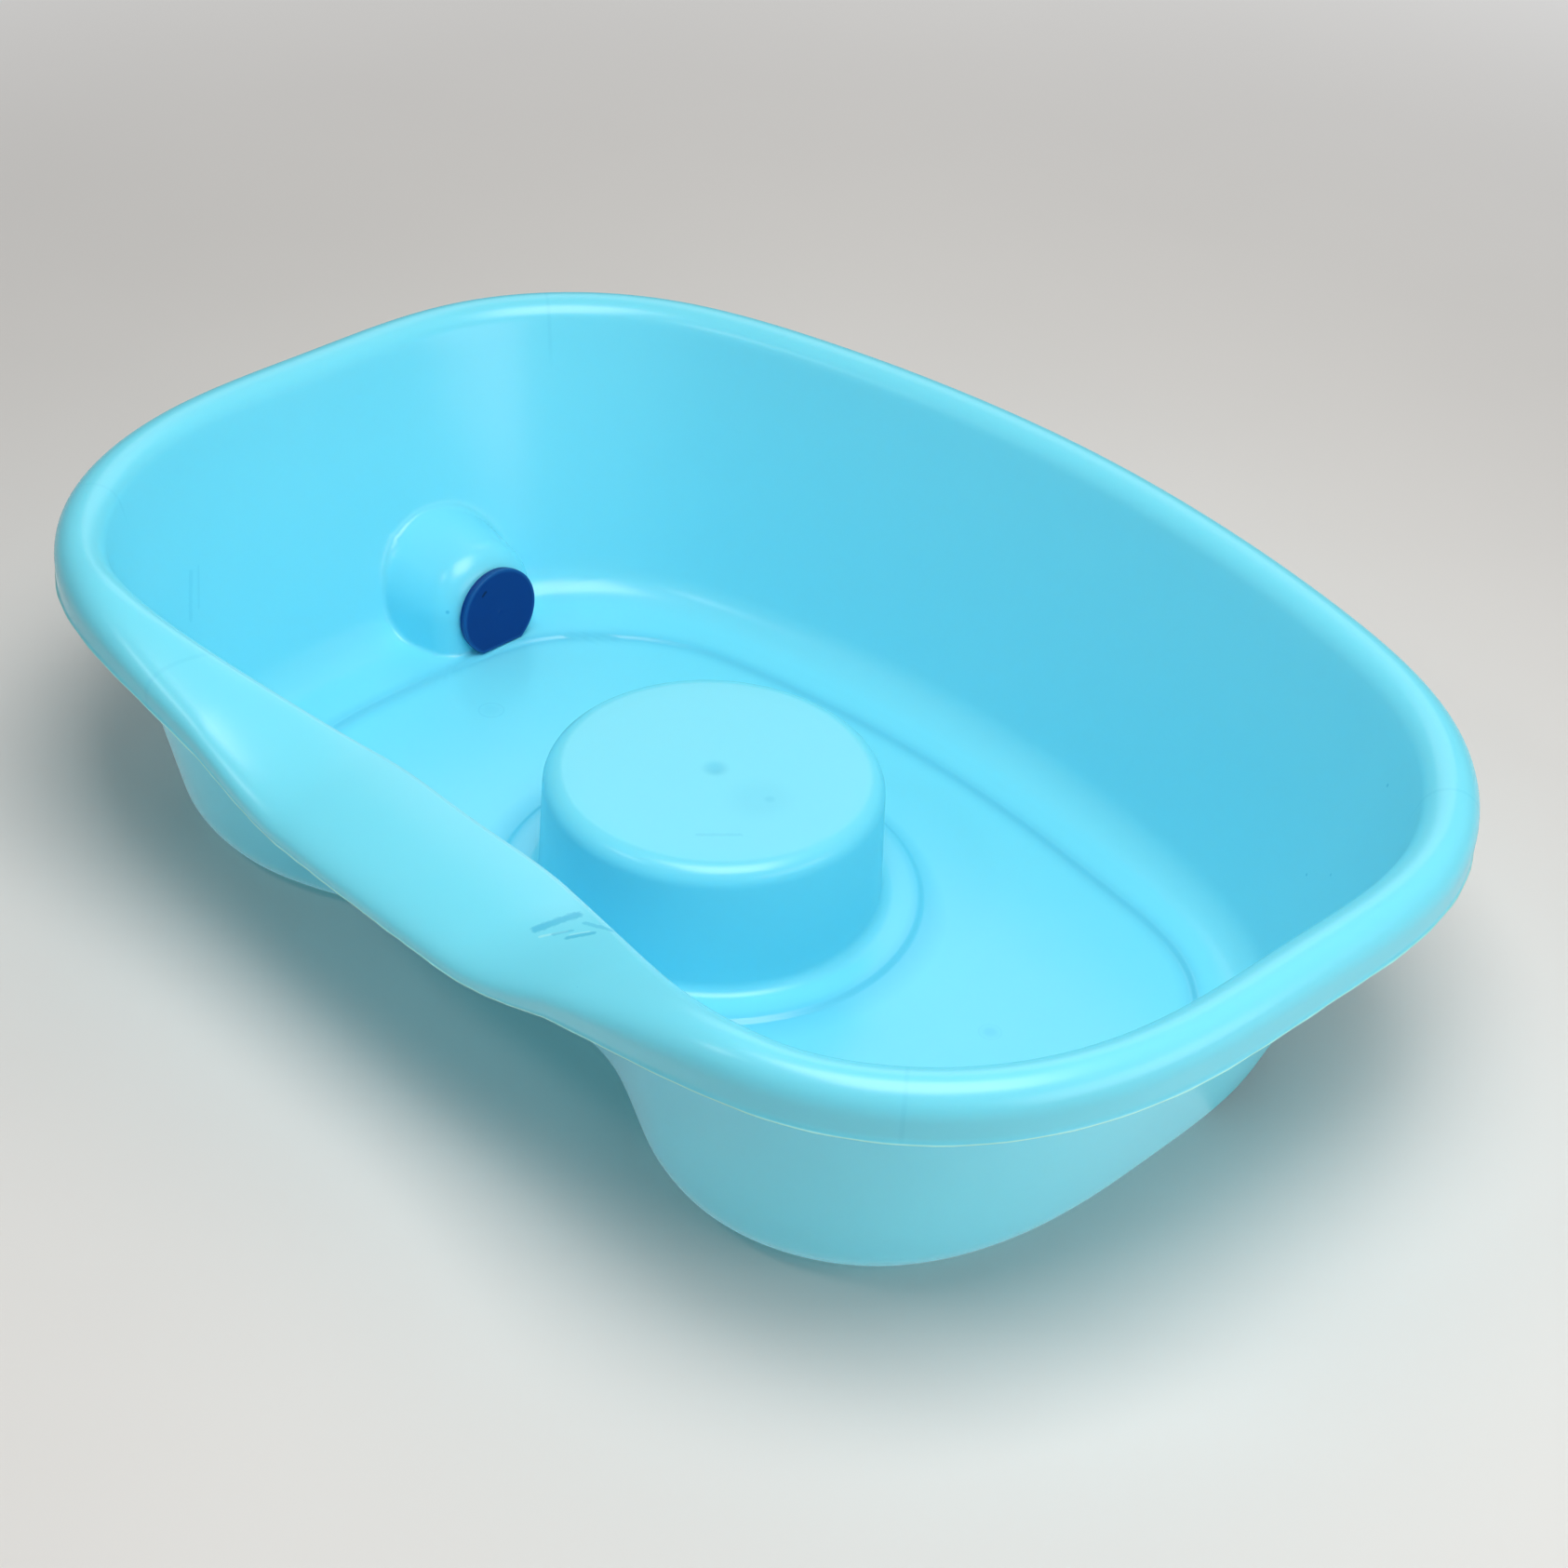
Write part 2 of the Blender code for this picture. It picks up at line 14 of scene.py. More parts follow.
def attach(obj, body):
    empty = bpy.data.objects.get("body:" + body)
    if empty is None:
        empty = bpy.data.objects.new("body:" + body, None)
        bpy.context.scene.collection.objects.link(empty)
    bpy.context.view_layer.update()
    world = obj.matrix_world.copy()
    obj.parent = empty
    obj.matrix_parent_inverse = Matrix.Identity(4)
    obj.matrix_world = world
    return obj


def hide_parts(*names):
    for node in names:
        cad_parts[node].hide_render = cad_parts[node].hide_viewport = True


bl_info = {
    "name": "Portable Shampoo Basin",
    "version": (1, 0, 0),
    "blender": (4, 5, 0),
    "location": "3D View > Sidebar > Basin",
    "description": "Moulded hair-washing basin with a head rest, a neck rest and a push-in drain plug",
    "category": "Add Mesh",
}

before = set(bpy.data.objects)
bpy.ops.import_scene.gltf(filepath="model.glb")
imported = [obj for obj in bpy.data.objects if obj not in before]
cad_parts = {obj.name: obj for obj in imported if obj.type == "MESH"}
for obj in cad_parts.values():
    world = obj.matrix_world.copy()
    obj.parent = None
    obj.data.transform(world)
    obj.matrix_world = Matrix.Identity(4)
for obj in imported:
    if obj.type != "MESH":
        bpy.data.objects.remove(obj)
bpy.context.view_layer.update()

# Points from the middle of the back, round the +X end, to the middle of the front.
# X is a share of the half length and Y a share of the half depth of each outline.
RIM_OUTLINE_SHARES = (
    (0.0, 1.0), (0.274, 0.972), (0.539, 0.897), (0.813, 0.728), (0.98, 0.38), (0.997, -0.05),
    (0.977, -0.466), (0.858, -0.819), (0.643, -0.999), (0.415, -0.91), (0.206, -0.81), (0.0, -0.805),
)
LIP_OUTLINE_SHARES = (
    (0.0, 1.0), (0.269, 0.973), (0.528, 0.902), (0.805, 0.734), (0.979, 0.381), (0.998, -0.039),
    (0.977, -0.438), (0.855, -0.794), (0.624, -0.986), (0.353, -0.991), (0.174, -0.995), (0.0, -0.998),
)
FOOT_OUTLINE_SHARES = (
    (0.0, 1.0), (0.268, 0.978), (0.526, 0.914), (0.808, 0.742), (0.972, 0.398), (1.005, -0.055),
    (0.992, -0.45), (0.879, -0.84), (0.666, -1.002), (0.49, -0.962), (0.246, -0.785), (0.0, -0.775),
)

# The stretches of the wall's section, counted from the middle of the head rest out to the lip
(HEAD_TOP, HEAD_EDGE, HEAD_SIDE, HEAD_FOOT, HEAD_BAND, RING_STEP, PANEL, CREASE_STEP, WALL_BAND,
 WALL_FOOT, WALL_SLOPE, RIM_INSIDE, RIM_OUTSIDE, SKIRT, FLASH) = range(15)

# How many cuts each stretch is given, and where the cuts of the two uneven ones lie
STRETCH_CUTS = {HEAD_EDGE: 8, HEAD_SIDE: 6, HEAD_FOOT: 6, HEAD_BAND: 3, RING_STEP: 6, CREASE_STEP: 6,
                WALL_BAND: 4, WALL_FOOT: 14, WALL_SLOPE: 16, RIM_INSIDE: 9, RIM_OUTSIDE: 18, SKIRT: 3,
                FLASH: 4}
HEAD_TOP_SHARES = (0.015, 0.03, 0.045, 0.06, 0.08, 0.1, 0.125, 0.16, 0.22, 0.31, 0.43, 0.57, 0.72, 0.87)
PANEL_SHARES = (0.0, 0.1, 0.22, 0.35, 0.48, 0.6, 0.7, 0.79, 0.86, 0.91, 0.95, 0.98)
COLUMNS_PER_SPAN = 14

# Where the band beside the panel starts to change towards each end, and how far it takes, as shares
# of the foot's half length
DRAIN_END_START = 0.55
DRAIN_END_RUN = 0.35
FAR_END_START = 0.4
FAR_END_RUN = 0.4

# Where the painted highlight runs along the neck rest's inner edge, as shares of the rim's inner rounding
NECK_HIGHLIGHT_MIDDLE = 0.55
NECK_HIGHLIGHT_REACH = 0.45

# The painted shade along the sunk panel's edges: its half width in step widths, and how finely the
# crease is followed
SHADE_REACH = 1.1
SHADE_SAMPLES = 1400

# The patch of the wall round the drain: its half width, its first and last row as shares of the
# panel and of the wall's slope, and how many rings fill it
PATCH_HALF_WIDTH = 0.048
PATCH_LOW_SHARE = 0.855
PATCH_HIGH_SHARE = 0.62
PATCH_RINGS = 60

# The eye behind the wall that the patch is worked out from: its place from the drain's middle, and
# the way it looks
EYE_OFFSET = (-0.0555, 0.0, -0.0505)
EYE_LOOK = (0.5, 0.0, 0.866)
FARTHEST = 0.3
HALVINGS = 36

# How finely the wall's ladder, the bore's edge and the lines of the patch are followed, and how the
# start of each line is searched for
LADDER_STEPS = 4001
BORE_STEPS = 721
LINE_STEPS = 401
SEARCH_ROUNDS = 30
SEARCH_STEP = 1e-4
LARGEST_TURN = 0.2
LARGEST_MOVE = 0.01

# The screw thread of the sleeve and of the nut, and how many rows each is given
THREAD_PITCH = 0.0025
THREAD_DEPTH = 0.0008
SLEEVE_ROWS = 72
NUT_ROWS = 26

# How many points go round each turned piece, and round the section of the sealing ring
PLUG_POINTS = 128
FLANGE_POINTS = 112
NUT_POINTS = 144
RUBBER_POINTS = 96
RING_POINTS = 24

# The rows of the plug's sunk face, as shares of the way out to its flat
PLUG_FACE_SHARES = (0.01, 0.03, 0.045, 0.06, 0.08, 0.15, 0.3, 0.5, 0.7, 0.82)

# The hose tail's barbs: how many, how much of the way to the next one their slope takes, and their
# profile as shares of that slope along the tail and of the barb's height
BARB_COUNT = 3
BARB_SLOPE_SHARE = 0.8
BARB_PROFILE = ((0.05, 0.0), (0.0, 0.06), (0.0, 0.8), (-0.03, 1.0), (-0.12, 0.98), (-0.6, 0.4),
                (-0.9, 0.06), (-1.0, 0.0))

# The nut's finger grips: how many, and how sharply they dip
GRIP_COUNT = 12
GRIP_SHARPNESS = 1.5


def metres(name, description, default):
    """A length that a user may change."""
    return FloatProperty(name=name, description=description, default=default, unit="LENGTH", precision=5)


def share_of(name, description, default):
    """A share from 0 to 1 that a user may change."""
    return FloatProperty(name=name, description=description, default=default, min=0.0, max=1.0)


def angle_of(name, description, default):
    """An angle that a user may change, given in degrees here."""
    return FloatProperty(name=name, description=description, default=math.radians(default), unit="ROTATION")


def colour_of(name, description, default):
    """A linear colour that a user may change."""
    return FloatVectorProperty(name=name, description=description, default=default, subtype="COLOR",
                               size=3, min=0.0, max=1.0)


class BasinSizes(bpy.types.PropertyGroup):
    """Sizes of the moulded basin."""

    length: metres("Length", "Over the rim, end to end", 0.536)
    depth: metres("Depth", "Over the rim, from the neck rest to the back", 0.3776)
    height: metres("Height", "From the floor panel to the top of the rim", 0.1244)
    wall: metres("Wall", "Thickness of the moulding", 0.0026)
    rim_outside: metres("Rim Outside", "How far the rim rolls out from its crest", 0.0100)
    rim_drop: metres("Rim Drop", "How far the roll falls before the skirt", 0.0107)
    rim_skirt: metres("Rim Skirt", "Upright part of the rim below its roll", 0.0082)
    rim_inside: metres("Rim Inside", "How far the rim's inner rounding cuts the corner", 0.0078)
    neck_dip: metres("Neck Dip", "How far the neck rest dips", 0.0316)
    neck_drop: metres("Neck Drop", "How far the neck rest's roll falls before its skirt", 0.0128)
    neck_skirt: metres("Neck Skirt", "Upright part of the rim below that roll", 0.002)
    neck_inside: metres("Neck Inside", "How far the neck rest's inner rounding cuts the corner", 0.0028)
    neck_width: metres("Neck Extra Width", "How much wider the rim is at the neck rest", 0.0382)
    neck_level: share_of("Neck Level Share", "Level part of the neck rest, of the half length", 0.2)
    neck_end: share_of("Neck End Share", "Where the neck rest's slopes end, of the half length", 0.674)
    foot_end_inset: metres("Foot End Inset", "How far the wall's foot lies in at each end", 0.055)
    foot_back_inset: metres("Foot Back Inset", "How far the wall's foot lies in at the back", 0.0573)
    foot_front_inset: metres("Foot Front Inset", "How far the wall's foot lies in at the front", 0.0413)
    foot_fillet: metres("Foot Fillet", "Rounding where the wall meets the floor", 0.019)
    neck_foot_fillet: metres("Neck Foot Fillet", "The same rounding below the neck rest", 0.006)
    band_flat: metres("Band", "Flat band between the floor panel and the rounding", 0.0128)
    neck_band_flat: metres("Neck Band", "The same band below the neck rest", 0.004)
    drain_band: metres("Drain Band", "How much wider the band is at the drain's end", 0.0075)
    far_band: metres("Far Band", "How much narrower the band is at the end away from the drain", 0.0046)
    step_height: metres("Step Height", "How far the floor panel is sunk", 0.0015)
    step_width: metres("Step Width", "Width of the panel's sloping edge", 0.0032)
    head_y: metres("Head Rest Y", "Place of the head rest's middle", -0.0205)
    head_top_radius: metres("Head Rest Top Radius", "Radius at its top", 0.065)
    head_foot_radius: metres("Head Rest Foot Radius", "Radius at its foot", 0.0664)
    head_height: metres("Head Rest Height", "Above the floor panel", 0.056)
    head_edge: metres("Head Rest Edge", "Rounding of its top edge", 0.008)
    head_fillet: metres("Head Rest Fillet", "Rounding at its foot", 0.005)
    ring_radius: metres("Ring Radius", "Radius of the step round the head rest", 0.0822)
    gate_radius: metres("Gate Radius", "Radius of the moulding gate's dimple", 0.003)
    gate_depth: metres("Gate Depth", "Depth of the moulding gate's dimple", 0.0004)
    flash_height: metres("Flash Height", "Height of the thin bead left along the lip", 0.0007)
    flash_width: metres("Flash Width", "How far that bead stands out", 0.0004)


class DrainSizes(bpy.types.PropertyGroup):
    """Sizes of the drain housing in the wall and of the pieces fitted to it."""

    from_foot: metres("From Foot", "From the wall's foot in to the housing's face", 0.0285)
    y: metres("Y", "Place of the drain across the basin", 0.0255)
    height: metres("Height", "Middle of the drain above the floor panel", 0.0178)
    tilt: angle_of("Tilt", "How far the drain leans back", 5.0)
    housing_radius: metres("Housing Radius", "Radius of the housing at its face", 0.0245)
    housing_edge: metres("Housing Edge", "Rounding of the housing's front edge", 0.011)
    housing_taper: angle_of("Housing Taper", "How much the housing widens towards the wall", 13.0)
    housing_fillet: metres("Housing Fillet", "Rounding between the housing and the wall", 0.0028)
    gap: metres("Gap", "Space between pieces that touch", 0.0003)
    sleeve_radius: metres("Sleeve Radius", "Outside of the threaded sleeve", 0.013)
    sleeve_length: metres("Sleeve Length", "Length of the threaded sleeve", 0.0175)
    sleeve_bore: metres("Sleeve Bore", "Radius inside the sleeve", 0.01)
    shoulder: metres("Shoulder", "Wall between the sleeve and the tail", 0.002)
    flange_radius: metres("Flange Radius", "Outside of the flange", 0.019)
    flange_thickness: metres("Flange Thickness", "Thickness of the flange", 0.0016)
    tail_radius: metres("Tail Radius", "Outside of the hose tail", 0.008)
    tail_bore: metres("Tail Bore", "Radius inside the hose tail", 0.006)
    tail_length: metres("Tail Length", "Length of the hose tail", 0.021)
    barb_height: metres("Barb Height", "How far the tail's barbs stand out", 0.0009)
    gasket_radius: metres("Gasket Radius", "Outside of the gasket", 0.0172)
    gasket_thickness: metres("Gasket Thickness", "Thickness of the gasket", 0.0015)
    nut_radius: metres("Nut Radius", "Outside of the nut", 0.0175)
    nut_thickness: metres("Nut Thickness", "Thickness of the nut", 0.007)
    nut_grip: metres("Nut Grip", "Depth of the nut's finger grips", 0.0009)
    plug_radius: metres("Plug Radius", "Outside of the plug's disc", 0.0194)
    plug_thickness: metres("Plug Thickness", "Thickness of the plug's disc", 0.0022)
    plug_flat: metres("Plug Flat", "From the plug's middle to its flat", 0.0163)
    plug_edge: metres("Plug Edge", "Rounding of the disc's edges", 0.0004)
    stem_radius: metres("Stem Radius", "Radius of the plug's stem", 0.0094)
    stem_end_radius: metres("Stem End Radius", "Radius at the stem's end", 0.0088)
    stem_length: metres("Stem Length", "Length of the plug's stem", 0.012)
    seal_place: metres("Seal Place", "From the disc to the sealing ring", 0.006)
    seal_wire: metres("Seal Wire Radius", "Radius of the sealing ring's section", 0.0011)
    seal_squeeze: metres("Seal Gap", "From the sealing ring to the sleeve", 0.0003)


class BasinColours(bpy.types.PropertyGroup):
    """Linear colours of the finishes and of the stage."""

    basin: colour_of("Basin", "Sky-blue polypropylene", (0.2, 0.78, 0.95))
    plug: colour_of("Plug", "Navy plastic", (0.0, 0.034, 0.2))
    rubber: colour_of("Rubber", "Gasket and sealing ring", (0.02, 0.02, 0.024))
    floor: colour_of("Floor", "Floor under the basin", (0.78, 0.76, 0.73))


def smooth(share):
    """Smooth step: 3 share squared less 2 share cubed."""
    return share * share * (3 - 2 * share)


def smooth_max(a, b, reach):
    """The larger of a and b, rounded where they differ by less than reach."""
    near = np.maximum(reach - np.abs(a - b), 0.0)
    return np.maximum(a, b) + near * near / (4 * reach)


def closed_curve(points, around):
    """Places and outward normals on a closed curve, at values of around counted in spans.

    In each span the place is a cubic of the share of the span. The bends at the points are solved
    so that direction and bend run on where two spans meet.
    """
    points = np.asarray(points, float)
    count = len(points)
    after = np.roll(points, -1, axis=0)
    chord = np.linalg.norm(after - points, axis=1)
    before = np.roll(chord, 1)
    slope = (after - points) / chord[:, None]
    matrix = np.zeros((count, count))
    index = np.arange(count)
    matrix[index, index] = 2 * (before + chord)
    matrix[index, (index - 1) % count] = before
    matrix[index, (index + 1) % count] = chord
    bend = np.linalg.solve(matrix, 6 * (slope - np.roll(slope, 1, axis=0)))
    span = np.floor(around).astype(int) % count
    b = (around - np.floor(around))[..., None]
    a = 1 - b
    c = chord[span][..., None]
    bend_here = bend[span]
    bend_after = bend[(span + 1) % count]
    place = a * points[span] + b * after[span]
    place = place + c * c / 6 * ((a**3 - a) * bend_here + (b**3 - b) * bend_after)
    along = slope[span] + c / 6 * ((1 - 3 * a * a) * bend_here + (3 * b * b - 1) * bend_after)
    along = along / np.linalg.norm(along, axis=-1, keepdims=True)
    return place, np.stack([-along[..., 1], along[..., 0]], axis=-1)


def outline(shares, half_length, half_depth, middle_y, around):
    """Closed outline from the points of its +X half, mirrored to the -X half."""
    half = np.array(shares) * [half_length, half_depth] + [0.0, middle_y]
    mirrored = half[1:-1][::-1] * [-1.0, 1.0]
    return closed_curve(np.vstack([half, mirrored]), around)


def section_lines(sizes, around):
    """The lines that the section hangs on, at each value of around: crest, lip, foot and crease.

    The wall's slope runs from the foot line to a line rim_inside in from the crest, at the crest's
    height. The rim rolls from the crest straight towards the lip. The crease lies in from the foot
    by the fillet's tangent length and the flat band.
    """
    s = sizes
    lip = outline(LIP_OUTLINE_SHARES, s.length / 2, s.depth / 2, 0.0, around)[0]
    half_length = s.length / 2 - s.rim_outside
    share_span = RIM_OUTLINE_SHARES[0][1] - RIM_OUTLINE_SHARES[-1][1]
    half_depth = (s.depth - 2 * s.rim_outside - s.neck_width) / share_span
    middle = s.depth / 2 - s.rim_outside - half_depth
    crest, normal = outline(RIM_OUTLINE_SHARES, half_length, half_depth, middle, around)
    foot_half_length = s.length / 2 - s.foot_end_inset
    foot_half_depth = (s.depth - s.foot_back_inset - s.foot_front_inset) / 2
    foot_middle = (s.foot_front_inset - s.foot_back_inset) / 2
    foot, foot_normal = outline(FOOT_OUTLINE_SHARES, foot_half_length, foot_half_depth, foot_middle, around)
    slope_run = (s.neck_end - s.neck_level) * half_length
    neck = np.clip((s.neck_end * half_length - np.abs(crest[..., 0])) / slope_run, 0.0, 1.0)
    neck = smooth(neck) * (crest[..., 1] < 0.0)
    inside = s.rim_inside + (s.neck_inside - s.rim_inside) * neck
    roll = lip - crest
    outside = np.linalg.norm(roll, axis=-1)
    lean = crest - normal * inside[..., None] - foot
    reach = np.linalg.norm(lean, axis=-1)
    band_z = s.wall + s.step_height
    rise = np.arctan2(s.height - s.neck_dip * neck - band_z, reach)
    fillet = s.foot_fillet + (s.neck_foot_fillet - s.foot_fillet) * neck
    end_share = foot[..., 0] / foot_half_length
    drain_end = smooth(np.clip((-end_share - DRAIN_END_START) / DRAIN_END_RUN, 0.0, 1.0))
    far_end = smooth(np.clip((end_share - FAR_END_START) / FAR_END_RUN, 0.0, 1.0))
    band = s.band_flat + (s.neck_band_flat - s.band_flat) * neck + s.drain_band * drain_end
    band = band - s.far_band * far_end
    crease = foot - (fillet * np.tan(rise / 2) + band)[..., None] * foot_normal
    to_crease = crease - [0.0, s.head_y]
    return {
        "crest": crest, "normal": normal, "neck": neck, "rise": rise, "fillet": fillet, "inside": inside,
        "outside": outside, "outward": roll / outside[..., None],
        "foot": foot, "foot_normal": foot_normal, "lean": lean / reach[..., None], "crease": crease,
        "spoke": to_crease / np.linalg.norm(to_crease, axis=-1, keepdims=True),
    }


def basin_surface(sizes, around, across, skin=0.0):
    """A face of the basin's wall: its inside for skin 0, its underside for skin equal to the wall.

    around runs round the outlines in spans and across runs outwards in stretches. Arcs that bulge
    upwards lose the skin from their radius, arcs that sag gain it, and flat parts drop by it.
    """
    s = sizes
    around, across = np.broadcast_arrays(around, across)
    line = section_lines(s, around)
    stretch = np.clip(np.floor(across).astype(int), 0, FLASH)
    share = across - stretch
    floor_z = s.wall
    band_z = floor_z + s.step_height
    quarter = math.pi / 2
    spoke, lean, normal, outward = line["spoke"], line["lean"], line["normal"], line["outward"]
    rise, fillet, neck = line["rise"], line["fillet"], line["neck"]
    crest_z = s.height - s.neck_dip * neck
    drop = s.rim_drop + (s.neck_drop - s.rim_drop) * neck
    outside = line["outside"]
    inner_radius = line["inside"] / np.tan(rise / 2)
    half_step = s.step_width / 2 * line["foot_normal"]
    smooth_share = smooth(share)
    hub = np.array([0.0, s.head_y])

    def spoke_point(radius):
        return hub + spoke * np.broadcast_to(radius, share.shape)[..., None]

    def between(start, end):
        return start + (end - start) * (share[..., None] if np.ndim(start) > share.ndim else share)

    edge_hub = s.head_top_radius - s.head_edge
    edge_z = s.wall + s.head_height - s.head_edge
    edge = s.head_edge - skin
    foot_hub = s.head_foot_radius + s.head_fillet
    foot_z = band_z + s.head_fillet
    foot_arc = s.head_fillet + skin
    radius = edge_hub * share
    gate = s.gate_depth * np.exp(-(radius / s.gate_radius) ** 2) * (skin == 0.0)
    ring_in = s.ring_radius - s.step_width / 2
    ring_out = s.ring_radius + s.step_width / 2
    wall_start = line["foot"] - lean * (fillet * np.tan(rise / 2))[..., None]

    def wall_arc(turn):
        return (wall_start + lean * ((fillet + skin) * np.sin(turn))[..., None],
                band_z + fillet - (fillet + skin) * np.cos(turn))

    def rim_arc(turn):
        return (line["crest"] - normal * ((inner_radius - skin) * np.sin(turn))[..., None],
                crest_z - inner_radius + (inner_radius - skin) * np.cos(turn))

    slope_low = wall_arc(rise)
    slope_high = rim_arc(rise)
    roll = share * quarter
    lip_out = line["crest"] + outward * (outside - skin)[..., None]
    skirt_top = crest_z - drop
    lip_z = skirt_top - s.rim_skirt - (s.neck_skirt - s.rim_skirt) * neck
    bead = s.flash_width * (skin == 0.0) * np.sin(math.pi * share) * flash_swell(around)
    places = {
        HEAD_TOP: (spoke_point(radius), edge_z + s.head_edge - skin - gate),
        HEAD_EDGE: (spoke_point(edge_hub + edge * np.sin(roll)), edge_z + edge * np.cos(roll)),
        HEAD_SIDE: (spoke_point(between(edge_hub + edge, foot_hub - foot_arc)), between(edge_z, foot_z)),
        HEAD_FOOT: (spoke_point(foot_hub - foot_arc * np.cos(roll)), foot_z - foot_arc * np.sin(roll)),
        HEAD_BAND: (spoke_point(between(foot_hub, ring_in)), band_z - skin),
        RING_STEP: (spoke_point(between(ring_in, ring_out)), band_z - skin - s.step_height * smooth_share),
        PANEL: (between(spoke_point(ring_out), line["crease"] - half_step), floor_z - skin),
        CREASE_STEP: (between(line["crease"] - half_step, line["crease"] + half_step),
                      floor_z - skin + s.step_height * smooth_share),
        WALL_BAND: (between(line["crease"] + half_step, wall_start), band_z - skin),
        WALL_FOOT: wall_arc(rise * share),
        WALL_SLOPE: (between(slope_low[0], slope_high[0]), between(slope_low[1], slope_high[1])),
        RIM_INSIDE: rim_arc(rise * (1 - share)),
        RIM_OUTSIDE: (line["crest"] + outward * ((outside - skin) * np.sin(roll))[..., None],
                      skirt_top + (drop - skin) * np.cos(roll)),
        SKIRT: (lip_out, between(skirt_top, lip_z + s.flash_height)),
        FLASH: (lip_out + outward * bead[..., None], between(lip_z + s.flash_height, lip_z)),
    }
    result = np.empty(share.shape + (3,))
    for number, (flat, height) in places.items():
        here = stretch == number
        result[..., :2][here] = flat[here]
        result[..., 2][here] = np.broadcast_to(height, share.shape)[here]
    return result


def flash_swell(around):
    """How the trimmed bead along the lip swells and thins: 1, a product of two sines and a third sine."""
    return 1.0 + 0.45 * np.sin(around * 7.3) * np.sin(around * 2.9 + 1.0) + 0.3 * np.sin(around * 23.7)


def neck_edge_highlight(sizes, around, across):
    """1 along the neck rest's inner edge, where a pale highlight is painted, falling to 0 on both sides."""
    neck = section_lines(sizes, around)["neck"]
    miss = (across - RIM_INSIDE - NECK_HIGHLIGHT_MIDDLE) / NECK_HIGHLIGHT_REACH
    return neck * np.maximum(1.0 - miss * miss, 0.0)


def crease_shade(sizes, places):
    """1 on the sunk panel's sloping edges, where shade is painted, falling off on both sides.

    The fall-off is exp(-(d / reach)^2) with d the distance in plan to the crease or to the ring.
    """
    around = np.linspace(0.0, 2 * (len(RIM_OUTLINE_SHARES) - 1), SHADE_SAMPLES, endpoint=False)
    crease = section_lines(sizes, around)["crease"]
    shade = np.zeros(len(places))
    height = places[:, 2]
    low = np.nonzero((height > 0.8 * sizes.wall) & (height < sizes.wall + 2 * sizes.step_height))[0]
    flat = places[low, :2]
    to_ring = np.abs(np.hypot(flat[:, 0], flat[:, 1] - sizes.head_y) - sizes.ring_radius)
    offset = flat[:, None, :] - crease[None, :, :]
    to_crease = np.sqrt((offset * offset).sum(axis=-1).min(axis=1))
    near = np.minimum(to_ring, to_crease) / (SHADE_REACH * sizes.step_width)
    shade[low] = np.exp(-near * near)
    return shade


def drain_matrix(basin, drain):
    """Frame at the middle of the housing's face: local Z is the way out and local X points down."""
    foot_half_length = basin.length / 2 - basin.foot_end_inset
    place = (drain.from_foot - foot_half_length, drain.y, basin.wall + drain.height)
    return Matrix.Translation(place) @ Matrix.Rotation(math.pi / 2 - drain.tilt, 4, "Y")


def placed(matrix, points):
    """Points carried from a local frame into the shared one."""
    matrix = np.array(matrix)
    return points @ matrix[:3, :3].T + matrix[:3, 3]


def unplaced(matrix, points):
    """Points carried from the shared frame into a local one."""
    matrix = np.array(matrix)
    return (points - matrix[:3, 3]) @ matrix[:3, :3]


def housing_depth(basin, drain, points, skin):
    """How far points lie outside the drain housing: negative inside it.

    The housing is a half cone on straight legs behind a flat face. Its front edge is rounded, which
    is the length of the two distances past the rounding's middle, less the rounding.
    """
    local = unplaced(drain_matrix(basin, drain), points)
    across = np.where(local[..., 0] > 0, np.abs(local[..., 1]), np.hypot(local[..., 0], local[..., 1]))
    taper = math.tan(drain.housing_taper)
    outside = (across - drain.housing_radius + taper * local[..., 2]) * math.cos(drain.housing_taper)
    edge = drain.housing_edge
    past = np.stack([local[..., 2] + edge, outside + edge])
    round_edge = np.linalg.norm(np.maximum(past, 0.0), axis=0) + np.minimum(past.max(axis=0), 0.0)
    return round_edge - edge + skin


def housing_exit(basin, drain, eye, rays, skin):
    """Distance along each ray from the eye to where it leaves the housing, found by halving."""
    near = np.zeros(rays.shape[:-1])
    far = np.full(rays.shape[:-1], FARTHEST)
    for _ in range(HALVINGS):
        middle = (near + far) / 2
        inside = housing_depth(basin, drain, eye + rays * middle[..., None], skin) < 0.0
        near = np.where(inside, middle, near)
        far = np.where(inside, far, middle)
    return near


def seen_flat(points, eye, look):
    """Points as seen from the eye on a flat picture: two shares of the distance along look."""
    offset = points - eye
    side = np.cross(look, [0.0, 1.0, 0.0])
    ahead = offset @ look
    return np.stack([offset[..., 1] / ahead, offset @ side / ahead], axis=-1)


